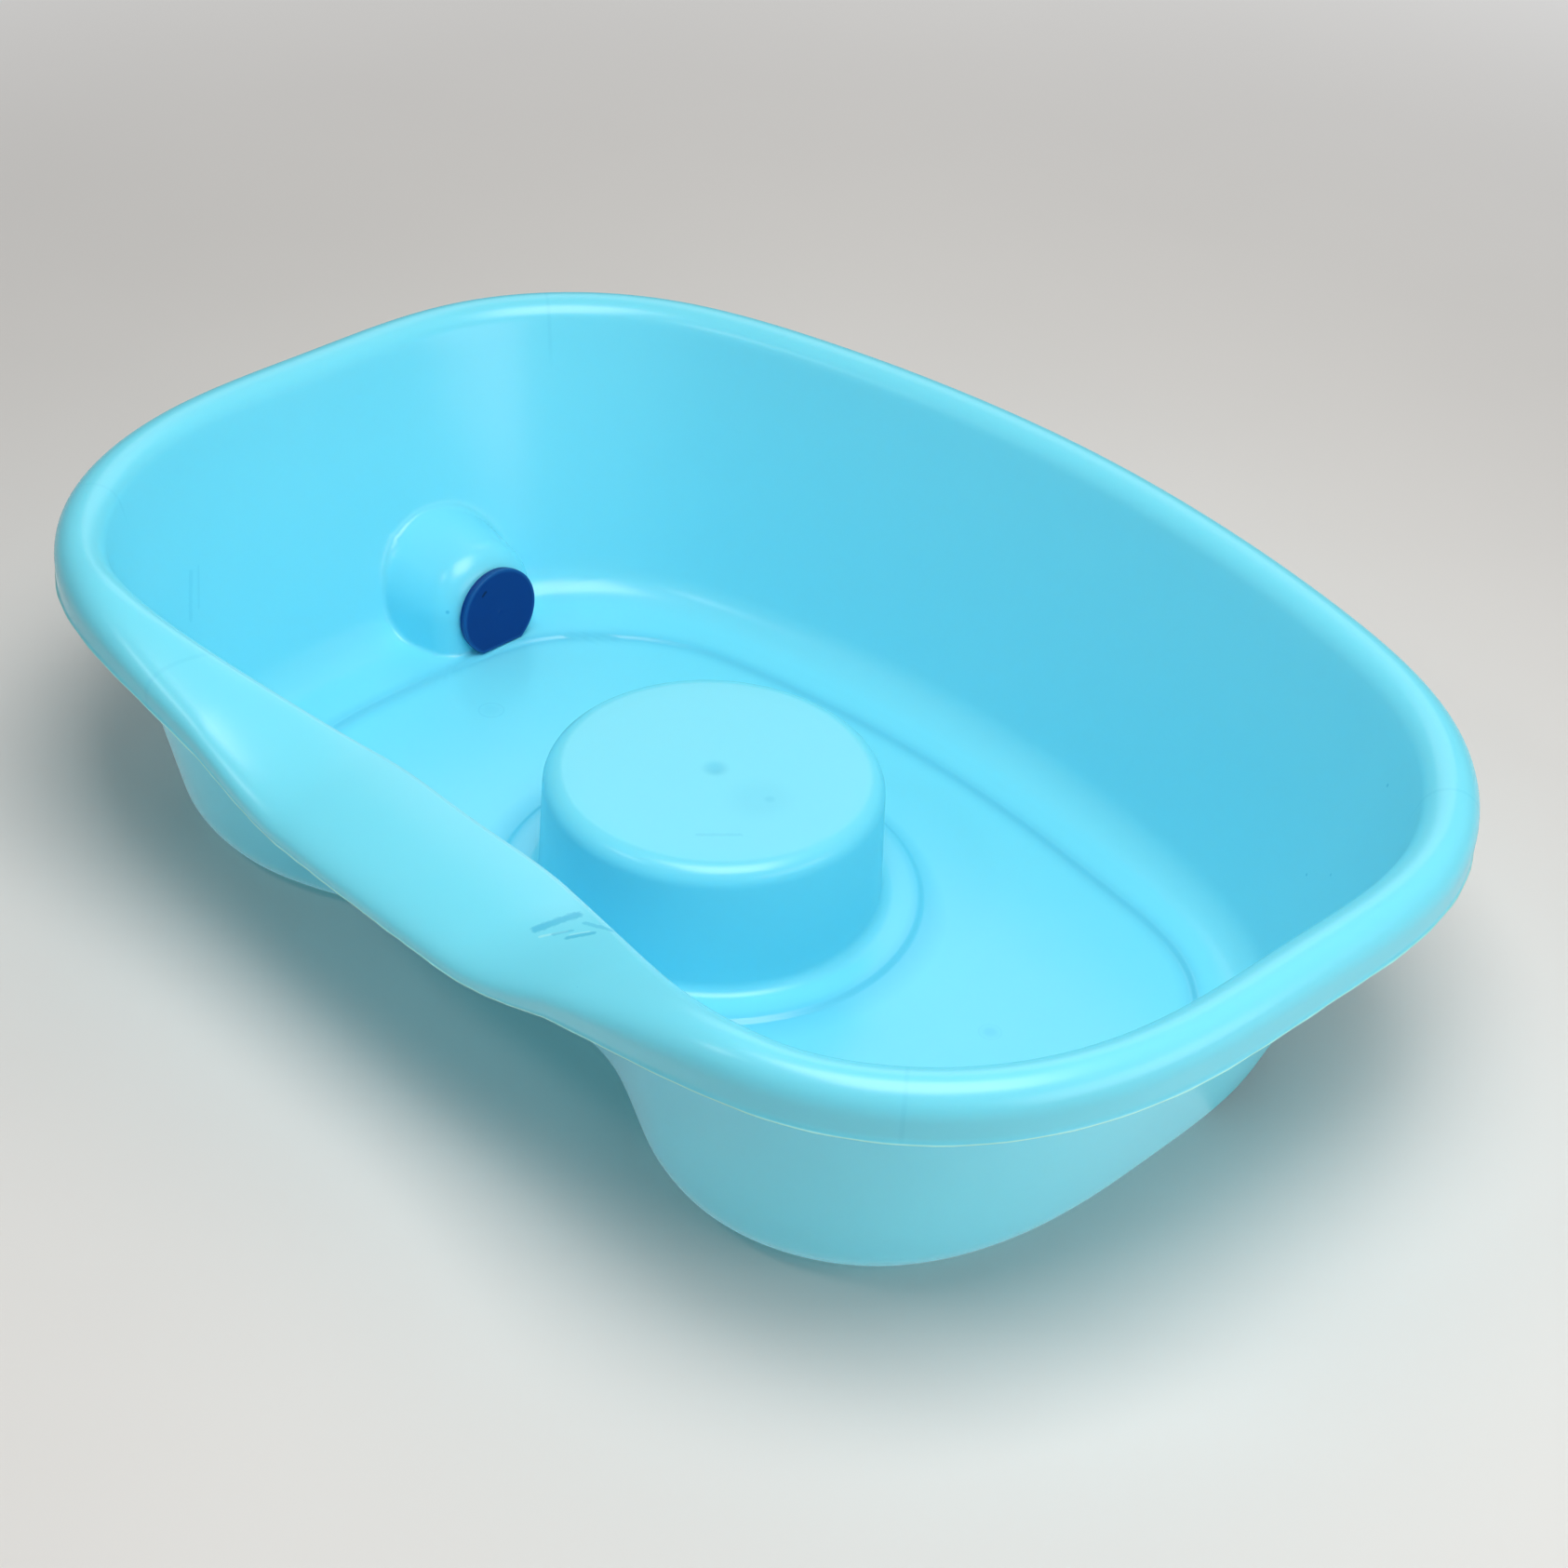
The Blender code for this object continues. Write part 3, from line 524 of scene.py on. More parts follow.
def drain_patch(basin, drain, loop_around, loop_across, skin):
    """Rings of the wall round the drain, from the bore's edge out to a loop in the wall's grid.

    An eye behind the wall looks out through it. Each ray from the eye meets the plain wall at one
    distance and leaves the housing at another, and the surface lies at the rounded larger one.
    The rings are evenly spaced along each line that runs from the bore to a point of the loop.
    """
    matrix = drain_matrix(basin, drain)
    middle = np.array(matrix.translation)
    eye = middle + np.array(EYE_OFFSET)
    look = np.array(EYE_LOOK)
    fine = np.linspace(PANEL, WALL_SLOPE + 1, LADDER_STEPS)
    middle_around = loop_around.mean()
    ladder = basin_surface(basin, middle_around, fine, skin)
    length = np.concatenate([[0.0], np.linalg.norm(np.diff(ladder, axis=0), axis=1).cumsum()])

    def wall_place(around, metres_across):
        return basin_surface(basin, around, np.interp(metres_across, length, fine), skin)

    loop_length = np.interp(loop_across, fine, length)
    target = seen_flat(wall_place(loop_around, loop_length), eye, look)
    turn = np.linspace(-math.pi, math.pi, BORE_STEPS)
    radius = drain.sleeve_radius + drain.gap
    circle = np.stack([radius * np.cos(turn), radius * np.sin(turn), np.full_like(turn, -skin)], axis=-1)
    circle = placed(matrix, circle)
    seen = seen_flat(circle, eye, look)
    hub = seen_flat(middle - np.array(matrix)[:3, 2] * skin, eye, look)
    bearing = np.unwrap(np.arctan2(*(seen - hub).T))
    wanted = np.unwrap(np.arctan2(*(target - hub).T))
    low, high = min(bearing[0], bearing[-1]), max(bearing[0], bearing[-1])
    wanted = low + (wanted - low) % (high - low)
    order = np.argsort(bearing)
    start = np.stack([np.interp(wanted, bearing[order], seen[order, k]) for k in range(2)], axis=-1)
    around = np.full(len(wanted), middle_around)
    across = np.full(len(wanted), np.interp(WALL_FOOT, fine, length))
    step = SEARCH_STEP
    for _ in range(SEARCH_ROUNDS):
        here = seen_flat(wall_place(around, across), eye, look)
        by_around = (seen_flat(wall_place(around + step, across), eye, look) - here) / step
        by_across = (seen_flat(wall_place(around, across + step), eye, look) - here) / step
        miss = start - here
        scale = by_around[:, 0] * by_across[:, 1] - by_around[:, 1] * by_across[:, 0]
        move_around = (miss[:, 0] * by_across[:, 1] - miss[:, 1] * by_across[:, 0]) / scale
        move_across = (by_around[:, 0] * miss[:, 1] - by_around[:, 1] * miss[:, 0]) / scale
        around = around + np.clip(move_around, -LARGEST_TURN, LARGEST_TURN)
        across = across + np.clip(move_across, -LARGEST_MOVE, LARGEST_MOVE)

    def lifted(share):
        """Wall places along the lines at shares of their run, moved out to the housing."""
        here = wall_place(around + (loop_around - around) * share, across + (loop_length - across) * share)
        rays = here - eye
        reach = np.linalg.norm(rays, axis=-1)
        rays = rays / reach[..., None]
        out = housing_exit(basin, drain, eye, rays, skin)
        return eye + rays * smooth_max(reach, out, drain.housing_fillet)[..., None]

    even = np.linspace(0.0, 1.0, LINE_STEPS)[:, None] * np.ones(len(wanted))
    trial = lifted(even)
    run = np.linalg.norm(np.diff(trial, axis=0), axis=-1).cumsum(axis=0)
    run = np.vstack([np.zeros(len(wanted)), run])
    run = run / run[-1]
    line_number = np.arange(len(wanted))
    wished = np.linspace(0.0, 1.0, PATCH_RINGS)[:, None] + 2.0 * line_number
    share = np.interp(wished, (run + 2.0 * line_number).T.ravel(), even.T.ravel())
    places = lifted(share)
    angle = np.interp(wanted, bearing[order], turn[order])
    edge = np.stack([radius * np.cos(angle), radius * np.sin(angle), np.full_like(angle, -skin)], axis=-1)
    places[0] = placed(matrix, edge)
    return places


def quads_between(first, second):
    """Quads between two closed rows of vertex numbers."""
    return np.stack([first, np.roll(first, -1), np.roll(second, -1), second], axis=-1)


def grid_quads(numbers):
    """Quads of a grid of vertex numbers whose rows close on themselves."""
    after = np.roll(numbers, -1, axis=1)
    return np.stack([numbers[:-1], after[:-1], after[1:], numbers[1:]], axis=-1).reshape(-1, 4)


def solid_mesh(name, places, quads, triangles=None, masks=None):
    """An object from arrays of places and faces, turned right side out by its signed volume.

    masks holds arrays with a value for each place, which the mesh keeps by name for its material.
    """
    triangles = np.empty((0, 3), int) if triangles is None else np.asarray(triangles)
    used, quads_and_triangles = np.unique(np.concatenate([quads.ravel(), triangles.ravel()]),
                                          return_inverse=True)
    places = np.asarray(places)[used]
    quads = quads_and_triangles[:quads.size].reshape(-1, 4)
    triangles = quads_and_triangles[quads.size:].reshape(-1, 3)
    parts = np.concatenate([quads[:, [0, 1, 2]], quads[:, [0, 2, 3]], triangles])
    a, b, c = (places[parts[:, k]] for k in range(3))
    if np.einsum("ij,ij->i", a, np.cross(b, c)).sum() < 0.0:
        quads = quads[:, ::-1]
        triangles = triangles[:, ::-1]
    mesh = bpy.data.meshes.new(name)
    mesh.vertices.add(len(places))
    mesh.vertices.foreach_set("co", places.astype(np.float32).ravel())
    corners = np.concatenate([quads.ravel(), triangles.ravel()]).astype(np.int32)
    totals = np.concatenate([np.full(len(quads), 4), np.full(len(triangles), 3)]).astype(np.int32)
    mesh.loops.add(len(corners))
    mesh.loops.foreach_set("vertex_index", corners)
    mesh.polygons.add(len(totals))
    mesh.polygons.foreach_set("loop_start", (np.cumsum(totals) - totals).astype(np.int32))
    mesh.polygons.foreach_set("loop_total", totals)
    mesh.update(calc_edges=True)
    mesh.validate()
    for label, values in (masks or {}).items():
        kept = mesh.attributes.new(label, "FLOAT", "POINT")
        kept.data.foreach_set("value", np.asarray(values)[used].astype(np.float32))
    mesh.shade_smooth()
    made = bpy.data.objects.new(name, mesh)
    bpy.context.scene.collection.objects.link(made)
    return made


def section_stops():
    """Values of across for the rows of the grid, without the head rest's middle."""
    stops = [HEAD_TOP + np.array(HEAD_TOP_SHARES)]
    for stretch in range(HEAD_EDGE, FLASH + 1):
        if stretch == PANEL:
            stops.append(PANEL + np.array(PANEL_SHARES))
        else:
            stops.append(stretch + np.arange(STRETCH_CUTS[stretch]) / STRETCH_CUTS[stretch])
    return np.concatenate(stops + [[FLASH + 1.0 - 1e-9]])


def hole_window(basin, drain, around, across):
    """Rows and columns of the grid that the patch round the drain takes the place of."""
    crease = section_lines(basin, around)["crease"]
    near = np.nonzero((np.abs(crease[:, 1] - drain.y) < PATCH_HALF_WIDTH) & (crease[:, 0] < 0.0))[0]
    first_row = np.searchsorted(across, PANEL + PATCH_LOW_SHARE)
    last_row = np.searchsorted(across, WALL_SLOPE + PATCH_HIGH_SHARE)
    return first_row, last_row, near.min(), near.max()


def window_loop(window):
    """Rows and columns of the grid points round the edge of the window, in order."""
    first_row, last_row, first, last = window
    columns = np.arange(first, last + 1)
    rows = np.arange(first_row, last_row + 1)
    row = np.concatenate([np.full(len(columns) - 1, first_row), rows[:-1],
                          np.full(len(columns) - 1, last_row), rows[:0:-1]])
    column = np.concatenate([columns[:-1], np.full(len(rows) - 1, last),
                             columns[:0:-1], np.full(len(rows) - 1, first)])
    return row, column


def basin_shell(basin, drain, name):
    """The whole moulding as one closed mesh.

    Two grids, the inside and the underside, run from the head rest's middle out to the lip, where
    they are joined. Round the drain each has a window, filled by rings from the window's edge to
    the bore, where they are joined again.
    """
    spans = 2 * (len(RIM_OUTLINE_SHARES) - 1)
    around = np.arange(spans * COLUMNS_PER_SPAN) / COLUMNS_PER_SPAN
    across = section_stops()
    window = hole_window(basin, drain, around, across)
    first_row, last_row, first, last = window
    loop_row, loop_column = window_loop(window)
    keep = np.ones((len(across) - 1, len(around)), bool)
    keep[first_row:last_row, first:last] = False
    places, quads, triangles, edge_highlights, trimmed, lips, bores = ([] for _ in range(7))
    start = 0
    for skin in (0.0, basin.wall):
        grid = basin_surface(basin, around[None, :], across[:, None], skin)
        numbers = start + np.arange(grid.shape[0] * grid.shape[1]).reshape(grid.shape[:2])
        sheet = grid_quads(numbers).reshape(len(across) - 1, len(around), 4)[keep]
        middle = start + numbers.size
        pole = basin_surface(basin, np.array([0.0]), np.array([0.0]), skin)
        fan = np.stack([np.full(len(around), middle), np.roll(numbers[0], -1), numbers[0]], axis=-1)
        patch = drain_patch(basin, drain, around[loop_column], across[loop_row], skin)[:-1]
        patch_numbers = middle + 1 + np.arange(patch.shape[0] * patch.shape[1]).reshape(patch.shape[:2])
        loop_numbers = numbers[loop_row, loop_column]
        filling = grid_quads(np.vstack([patch_numbers, loop_numbers]))
        upper = skin == 0.0
        if upper:
            filling = filling[:, ::-1]
        else:
            sheet = sheet[:, ::-1]
            fan = fan[:, ::-1]
        quads += [sheet, filling]
        triangles.append(fan)
        places += [grid.reshape(-1, 3), pole.reshape(-1, 3), patch.reshape(-1, 3)]
        # Painted highlight along the neck rest's inner edge
        edge = neck_edge_highlight(basin, around[None, :], across[:, None]) * upper
        # The lip's bead takes its pale trimmed colour, partly a painted glow of light through the thin
        # flash
        trim = (across[:, None] > FLASH) * np.ones(len(around)) * upper
        beyond = np.zeros(1 + patch.shape[0] * patch.shape[1])
        edge_highlights += [edge.ravel(), beyond]
        trimmed += [trim.ravel(), beyond]
        lips.append(numbers[-1])
        bores.append(patch_numbers[0])
        start = patch_numbers[-1, -1] + 1
    quads.append(quads_between(lips[0], lips[1]))
    quads.append(quads_between(bores[0], bores[1]))
    places = np.concatenate(places)
    masks = {"neck_edge_highlight": np.concatenate(edge_highlights), "trimmed_lip_glow": np.concatenate(trimmed),
             "crease_shade": crease_shade(basin, places)}
    return solid_mesh(name, places, np.concatenate(quads), np.concatenate(triangles), masks)


def disc_turn(radius, flat, count):
    """Angles round a disc with one flat: a quarter of them along the flat, the rest round the arc."""
    on_flat = count // 4
    corner = math.acos(flat / radius)
    chord = np.linspace(-1.0, 1.0, on_flat, endpoint=False) * flat * math.tan(corner)
    return np.concatenate([np.arctan2(chord, flat),
                           np.linspace(corner, 2 * math.pi - corner, count - on_flat, endpoint=False)])


def disc_row(turn, radius, flat, inset, height):
    """One row round a disc with a flat, drawn in by an inset: the nearer of the arc and the flat."""
    reach = np.full_like(turn, radius - inset)
    facing = np.cos(turn) > 1e-6
    reach[facing] = np.minimum(reach[facing], (flat - inset) / np.cos(turn[facing]))
    return np.stack([reach * np.cos(turn), reach * np.sin(turn), np.full_like(turn, height)], axis=-1)


def round_row(turn, radius, height):
    """One row round the axis, whose radius may change with the angle."""
    radius, height = np.broadcast_arrays(radius, height, turn)[:2]
    return np.stack([radius * np.cos(turn), radius * np.sin(turn), height], axis=-1)


def rounded_corner(start_turn, end_turn, cuts):
    """Pairs of sine and cosine along an arc, for rounding a corner of a profile."""
    turn = np.linspace(start_turn, end_turn, cuts + 1)
    return np.stack([np.sin(turn), np.cos(turn)], axis=-1)


def turned_solid(name, matrix, rows, poles, row_masks=None):
    """A closed mesh from rows of points round an axis, and masks with a value for each row.

    With poles the first and last rows are closed by a point on the axis, and without them the last
    row joins the first, as on a washer.
    """
    grid = np.stack(rows)
    masks = {label: np.repeat(values, grid.shape[1]) for label, values in (row_masks or {}).items()}
    numbers = np.arange(grid.shape[0] * grid.shape[1]).reshape(grid.shape[:2])
    places = grid.reshape(-1, 3)
    triangles = None
    if poles:
        ends = grid[[0, -1]].mean(axis=1) * [0.0, 0.0, 1.0]
        places = np.vstack([places, ends])
        masks = {label: np.concatenate([values, [0.0, 0.0]]) for label, values in masks.items()}
        quads = grid_quads(numbers)
        first, last = numbers.size, numbers.size + 1
        front = np.stack([np.full(numbers.shape[1], first), np.roll(numbers[0], -1), numbers[0]], axis=-1)
        back = np.stack([np.full(numbers.shape[1], last), numbers[-1], np.roll(numbers[-1], -1)], axis=-1)
        triangles = np.vstack([front, back])
    else:
        quads = grid_quads(np.vstack([numbers, numbers[:1]]))
    return solid_mesh(name, placed(matrix, places), quads, triangles, masks)


def plug_piece(basin, drain, name):
    """Stopper disc with one flat and rounded edges, a sunk middle, and the stem with its groove."""
    s = drain
    turn = disc_turn(s.plug_radius, s.plug_flat, PLUG_POINTS)
    back = s.flange_thickness + 2 * s.gap
    face = back + s.plug_thickness
    edge = s.plug_edge

    def row(inset, height):
        return disc_row(turn, s.plug_radius, s.plug_flat, inset, height)

    sink, gate_depth, gate_radius, border = 0.00012, 0.00025, 0.0008, 0.0016
    rows = []
    for share in PLUG_FACE_SHARES:
        radius = share * s.plug_flat
        gate = gate_depth * np.exp(-(radius / gate_radius) ** 2)
        rows.append(round_row(turn, radius, face - sink * (1 - share * share) - gate))
    rows.append(row(border, face))
    # The rows of the front edge's rounding carry the painted highlight
    highlight_from = len(rows)
    for sine, cosine in rounded_corner(0.0, math.pi / 2, 5):
        rows.append(row(edge * (1 - sine), face - edge * (1 - cosine)))
    highlight_to = len(rows)
    for sine, cosine in rounded_corner(math.pi / 2, 0.0, 3):
        rows.append(row(edge / 2 * (1 - sine), back + edge / 2 * (1 - cosine)))
    under = 0.004
    rows.append(row(s.plug_radius - s.stem_radius - under, back))
    groove = s.sleeve_bore - s.seal_squeeze - 2 * s.seal_wire - s.gap
    upper = back - s.seal_place + s.seal_wire + s.gap
    lower = back - s.seal_place - s.seal_wire - s.gap
    end = back - s.stem_length
    fillet = 0.0006
    for sine, cosine in rounded_corner(0.0, math.pi / 2, 4):
        rows.append(round_row(turn, s.stem_radius + fillet * (1 - sine), back - fillet * (1 - cosine)))
    soft, stem_rim, hollow = 0.0002, 0.0016, 0.006
    for radius, height in ((s.stem_radius, upper + soft), (s.stem_radius - soft, upper),
                           (groove + soft, upper), (groove, upper - soft), (groove, lower + soft),
                           (groove + soft, lower), (s.stem_radius - soft, lower),
                           (s.stem_radius, lower - soft), (s.stem_end_radius, end + 4 * soft),
                           (s.stem_end_radius - soft, end + soft), (s.stem_end_radius - 4 * soft, end),
                           (s.stem_end_radius - stem_rim, end)):
        rows.append(round_row(turn, radius, height))
    bowl = s.stem_end_radius - stem_rim - soft
    for radius, height in ((bowl, end + 1.5 * soft), (bowl - soft, end + hollow),
                           (5 * soft, end + hollow + 2 * soft)):
        rows.append(round_row(turn, radius, height))
    highlight_rows = np.zeros(len(rows))
    highlight_rows[highlight_from:highlight_to] = 1.0
    masks = {"plug_edge_highlight": highlight_rows}
    return turned_solid(name, drain_matrix(basin, drain), rows, poles=True, row_masks=masks)


def thread_radius(turn, height, radius, start, end):
    """Radius of a screw thread: a rounded wave along the helix, fading out at both ends."""
    phase = height / THREAD_PITCH - turn / (2 * math.pi)
    wave = 0.5 + 0.5 * np.cos(2 * math.pi * phase)
    fade = np.clip(np.minimum(height - start, end - height) / THREAD_PITCH, 0.0, 1.0)
    return radius - THREAD_DEPTH * (1 - smooth(wave) * fade)


def drain_body_piece(basin, drain, name):
    """Flange with a flat, threaded sleeve and barbed hose tail, bored through for the water."""
    s = drain
    turn = disc_turn(s.flange_radius, s.plug_flat, FLANGE_POINTS)
    front = s.flange_thickness + s.gap
    shoulder = -s.sleeve_length
    bore_end = shoulder + s.shoulder
    end = shoulder - s.tail_length
    edge, tail_root = 0.0003, 0.0004

    def row(inset, height):
        return disc_row(turn, s.flange_radius, s.plug_flat, inset, height)

    rows = [round_row(turn, s.sleeve_bore, front - edge), round_row(turn, s.sleeve_bore + edge, front)]
    for sine, cosine in rounded_corner(0.0, math.pi / 2, 4):
        rows.append(row(edge * (1 - sine), front - edge * (1 - cosine)))
    rows.append(row(0.0, s.gap + edge))
    rows.append(row(edge, s.gap))
    rows.append(round_row(turn, s.sleeve_radius, s.gap))
    start = shoulder + edge
    for height in np.linspace(-basin.wall, start, SLEEVE_ROWS):
        radius = thread_radius(turn, height, s.sleeve_radius, start, -basin.wall)
        rows.append(round_row(turn, radius, height))
    rows.append(round_row(turn, s.sleeve_radius - THREAD_DEPTH - edge, shoulder))
    rows.append(round_row(turn, s.tail_radius + tail_root, shoulder))
    step = s.tail_length / (BARB_COUNT + 1)
    slope = BARB_SLOPE_SHARE * step
    for number in range(BARB_COUNT):
        root = shoulder - step * (number + 1)
        for share, lift in BARB_PROFILE:
            rows.append(round_row(turn, s.tail_radius + lift * s.barb_height, root + share * slope))
    rows.append(round_row(turn, s.tail_radius, end + edge))
    rows.append(round_row(turn, s.tail_radius - edge, end))
    rows.append(round_row(turn, s.tail_bore + edge, end))
    rows.append(round_row(turn, s.tail_bore, end + edge))
    rows.append(round_row(turn, s.tail_bore, bore_end))
    rows.append(round_row(turn, s.sleeve_bore, bore_end))
    return turned_solid(name, drain_matrix(basin, drain), rows, poles=False)


def washer_piece(basin, drain, name):
    """Flat rubber washer behind the wall, with rounded edges."""
    s = drain
    turn = np.linspace(0.0, 2 * math.pi, RUBBER_POINTS, endpoint=False)
    bore = s.sleeve_radius + s.gap
    front = -basin.wall - s.gap
    back = front - s.gasket_thickness
    edge = 0.00035
    rows = []
    for radius, height, out, ahead in ((s.gasket_radius, front, 1, 1), (s.gasket_radius, back, 1, -1),
                                       (bore, back, -1, -1), (bore, front, -1, 1)):
        corner = rounded_corner(0.0, math.pi / 2, 4)
        if out * ahead < 0:
            corner = corner[::-1]
        for sine, cosine in corner:
            rows.append(round_row(turn, radius - out * edge * (1 - sine),
                                  height - ahead * edge * (1 - cosine)))
    return turned_solid(name, drain_matrix(basin, drain), rows, poles=False)


def nut_piece(basin, drain, name):
    """Round nut whose outside waves in and out as finger grips, with chamfered ends."""
    s = drain
    turn = np.linspace(0.0, 2 * math.pi, NUT_POINTS, endpoint=False)
    bore = s.sleeve_radius + s.gap
    front = -basin.wall - s.gasket_thickness - 2 * s.gap
    back = front - s.nut_thickness
    dip = s.nut_grip * (0.5 + 0.5 * np.cos(GRIP_COUNT * turn)) ** GRIP_SHARPNESS
    outer = s.nut_radius - dip
    edge = 0.0005
    rows = [round_row(turn, bore + edge, front), round_row(turn, outer - 2 * edge, front)]
    for sine, cosine in rounded_corner(0.0, math.pi / 2, 4):
        rows.append(round_row(turn, outer - edge * (1 - sine), front - edge * (1 - cosine)))
    for sine, cosine in rounded_corner(math.pi / 2, 0.0, 4):
        rows.append(round_row(turn, outer - edge * (1 - sine), back + edge * (1 - cosine)))
    rows.append(round_row(turn, outer - 2 * edge, back))
    rows.append(round_row(turn, bore + edge, back))
    root = bore + THREAD_DEPTH
    for height in np.linspace(back + edge, front - edge, NUT_ROWS):
        rows.append(round_row(turn, thread_radius(turn, height, root, back, front), height))
    return turned_solid(name, drain_matrix(basin, drain), rows, poles=False)


def seal_piece(basin, drain, name):
    """Rubber ring in the groove of the plug's stem: a circle carried round the axis."""
    s = drain
    turn = np.linspace(0.0, 2 * math.pi, RUBBER_POINTS, endpoint=False)
    middle = s.sleeve_bore - s.seal_squeeze - s.seal_wire
    height = s.flange_thickness + 2 * s.gap - s.seal_place
    rows = []
    for angle in np.linspace(0.0, 2 * math.pi, RING_POINTS, endpoint=False):
        rows.append(round_row(turn, middle + s.seal_wire * math.cos(angle),
                              height + s.seal_wire * math.sin(angle)))
    return turned_solid(name, drain_matrix(basin, drain), rows, poles=False)


class Nodes:
    """Adds nodes to a tree and joins them. An input is a value, a socket or a node's first output."""

    def __init__(self, tree):
        self.tree = tree

    def add(self, kind, settings=None, **inputs):
        """A node with its settings, and its inputs by name with spaces as underscores."""
        made = self.tree.nodes.new(kind)
        for key, value in (settings or {}).items():
            setattr(made, key, value)
        for key, value in inputs.items():
            name = key.replace("_", " ")
            socket = made.inputs[int(name[1:])] if name[1:].isdigit() else made.inputs[name]
            self.join(value, socket)
        return made

    def join(self, value, socket):
        """Puts a plain value into a socket or links a node's output to it."""
        if isinstance(value, bpy.types.Node):
            value = value.outputs[0]
        if isinstance(value, bpy.types.NodeSocket):
            self.tree.links.new(value, socket)
        else:
            socket.default_value = value

    def math(self, operation, *values):
        """A Math node."""
        inputs = {f"n{number}": value for number, value in enumerate(values)}
        return self.add("ShaderNodeMath", {"operation": operation}, **inputs)

    def vector(self, operation, *values):
        """A Vector Math node."""
        inputs = {f"n{number}": value for number, value in enumerate(values)}
        return self.add("ShaderNodeVectorMath", {"operation": operation}, **inputs)

    def range(self, value, low, high, to_low=0.0, to_high=1.0):
        """Maps a value from one range smoothly to another."""
        return self.add("ShaderNodeMapRange", {"interpolation_type": "SMOOTHSTEP"}, n0=value, n1=low,
                        n2=high, n3=to_low, n4=to_high)

    def effect(self, group, **inputs):
        """One of the shared node groups, with its inputs."""
        return self.add("ShaderNodeGroup", {"node_tree": group()}, **inputs)

    def mask(self, label):
        """A mask that the mesh keeps by name."""
        return self.add("ShaderNodeAttribute", {"attribute_name": label}).outputs["Fac"]

    def mix(self, mask, first, second):
        """A colour mixed from two by a mask."""
        made = self.add("ShaderNodeMix", {"data_type": "RGBA"}, n0=mask)
        self.join(first, made.inputs[6])
        self.join(second, made.inputs[7])
        return made.outputs[2]


def node_group(name, vectors, numbers, results, build):
    """A shader node group, built once, with its vector inputs, number inputs and number outputs."""
    if name in bpy.data.node_groups:
        return bpy.data.node_groups[name]
    group = bpy.data.node_groups.new(name, "ShaderNodeTree")
    for labels, way, kind in ((vectors, "INPUT", "NodeSocketVector"), (numbers, "INPUT", "NodeSocketFloat"),
                              (results, "OUTPUT", "NodeSocketFloat")):
        for label in labels:
            group.interface.new_socket(label, in_out=way, socket_type=kind)
    nodes = Nodes(group)
    given = group.nodes.new("NodeGroupInput")
    result = group.nodes.new("NodeGroupOutput")
    for label, socket in build(nodes, given).items():
        nodes.join(socket, result.inputs[label])
    return group


def moulded_grain():
    """Group: the slow waviness, fine grain and cloudy tone of any moulded piece."""

    def build(nodes, given):
        place = given.outputs["Place"]
        slow = nodes.add("ShaderNodeTexNoise", Vector=place, Scale=14.0, Detail=2.0)
        cloud = nodes.add("ShaderNodeTexNoise", Vector=place, Scale=38.0, Detail=4.0, Roughness=0.6)
        grain = nodes.add("ShaderNodeTexNoise", Vector=place, Scale=given.outputs["Grain Scale"],
                          Detail=3.0)
        wavy = nodes.math("MULTIPLY", slow, given.outputs["Wave"])
        rough = nodes.math("MULTIPLY", grain, given.outputs["Grain"])
        return {"Height": nodes.math("ADD", wavy, rough), "Tone": cloud, "Fine": grain}

    return node_group("moulded_grain", ["Place"], ["Grain Scale", "Grain", "Wave"],
                      ["Height", "Tone", "Fine"], build)


def line_mark():
    """Group: a mask round a straight line from Start to End, softly edged and worn by noise."""

    def build(nodes, given):
        place, start, end = (given.outputs[label] for label in ("Place", "Start", "End"))
        run = nodes.vector("SUBTRACT", end, start)
        offset = nodes.vector("SUBTRACT", place, start)
        dot = nodes.vector("DOT_PRODUCT", offset, run)
        length = nodes.vector("DOT_PRODUCT", run, run)
        share = nodes.math("DIVIDE", dot.outputs["Value"], length.outputs["Value"])
        inside = nodes.add("ShaderNodeClamp", Value=share)
        along = nodes.add("ShaderNodeVectorMath", {"operation": "SCALE"}, n0=run, Scale=inside)
        miss = nodes.vector("SUBTRACT", offset, along)
        far = nodes.vector("LENGTH", miss)
        ragged = nodes.add("ShaderNodeTexNoise", Vector=place, Scale=700.0, Detail=2.0)
        width = nodes.math("MULTIPLY", given.outputs["Width"], nodes.math("ADD", ragged, 0.5))
        near = nodes.math("DIVIDE", far.outputs["Value"], width)
        return {"Mask": nodes.range(near, 0.4, 1.0, 1.0, 0.0)}

    return node_group("line_mark", ["Place", "Start", "End"], ["Width"], ["Mask"], build)


def specks():
    """Group: a mask of small, thinly strewn specks."""

    def build(nodes, given):
        cells = nodes.add("ShaderNodeTexVoronoi", Vector=given.outputs["Place"],
                          Scale=given.outputs["Scale"])
        picked = nodes.add("ShaderNodeSeparateColor", Color=cells.outputs["Color"])
        rare = nodes.math("GREATER_THAN", picked.outputs[0], given.outputs["Rarity"])
        size = nodes.math("MULTIPLY", picked.outputs[1], given.outputs["Size"])
        near = nodes.math("LESS_THAN", cells.outputs["Distance"], size)
        return {"Mask": nodes.math("MULTIPLY", rare, near)}

    return node_group("specks", ["Place"], ["Scale", "Rarity", "Size"], ["Mask"], build)


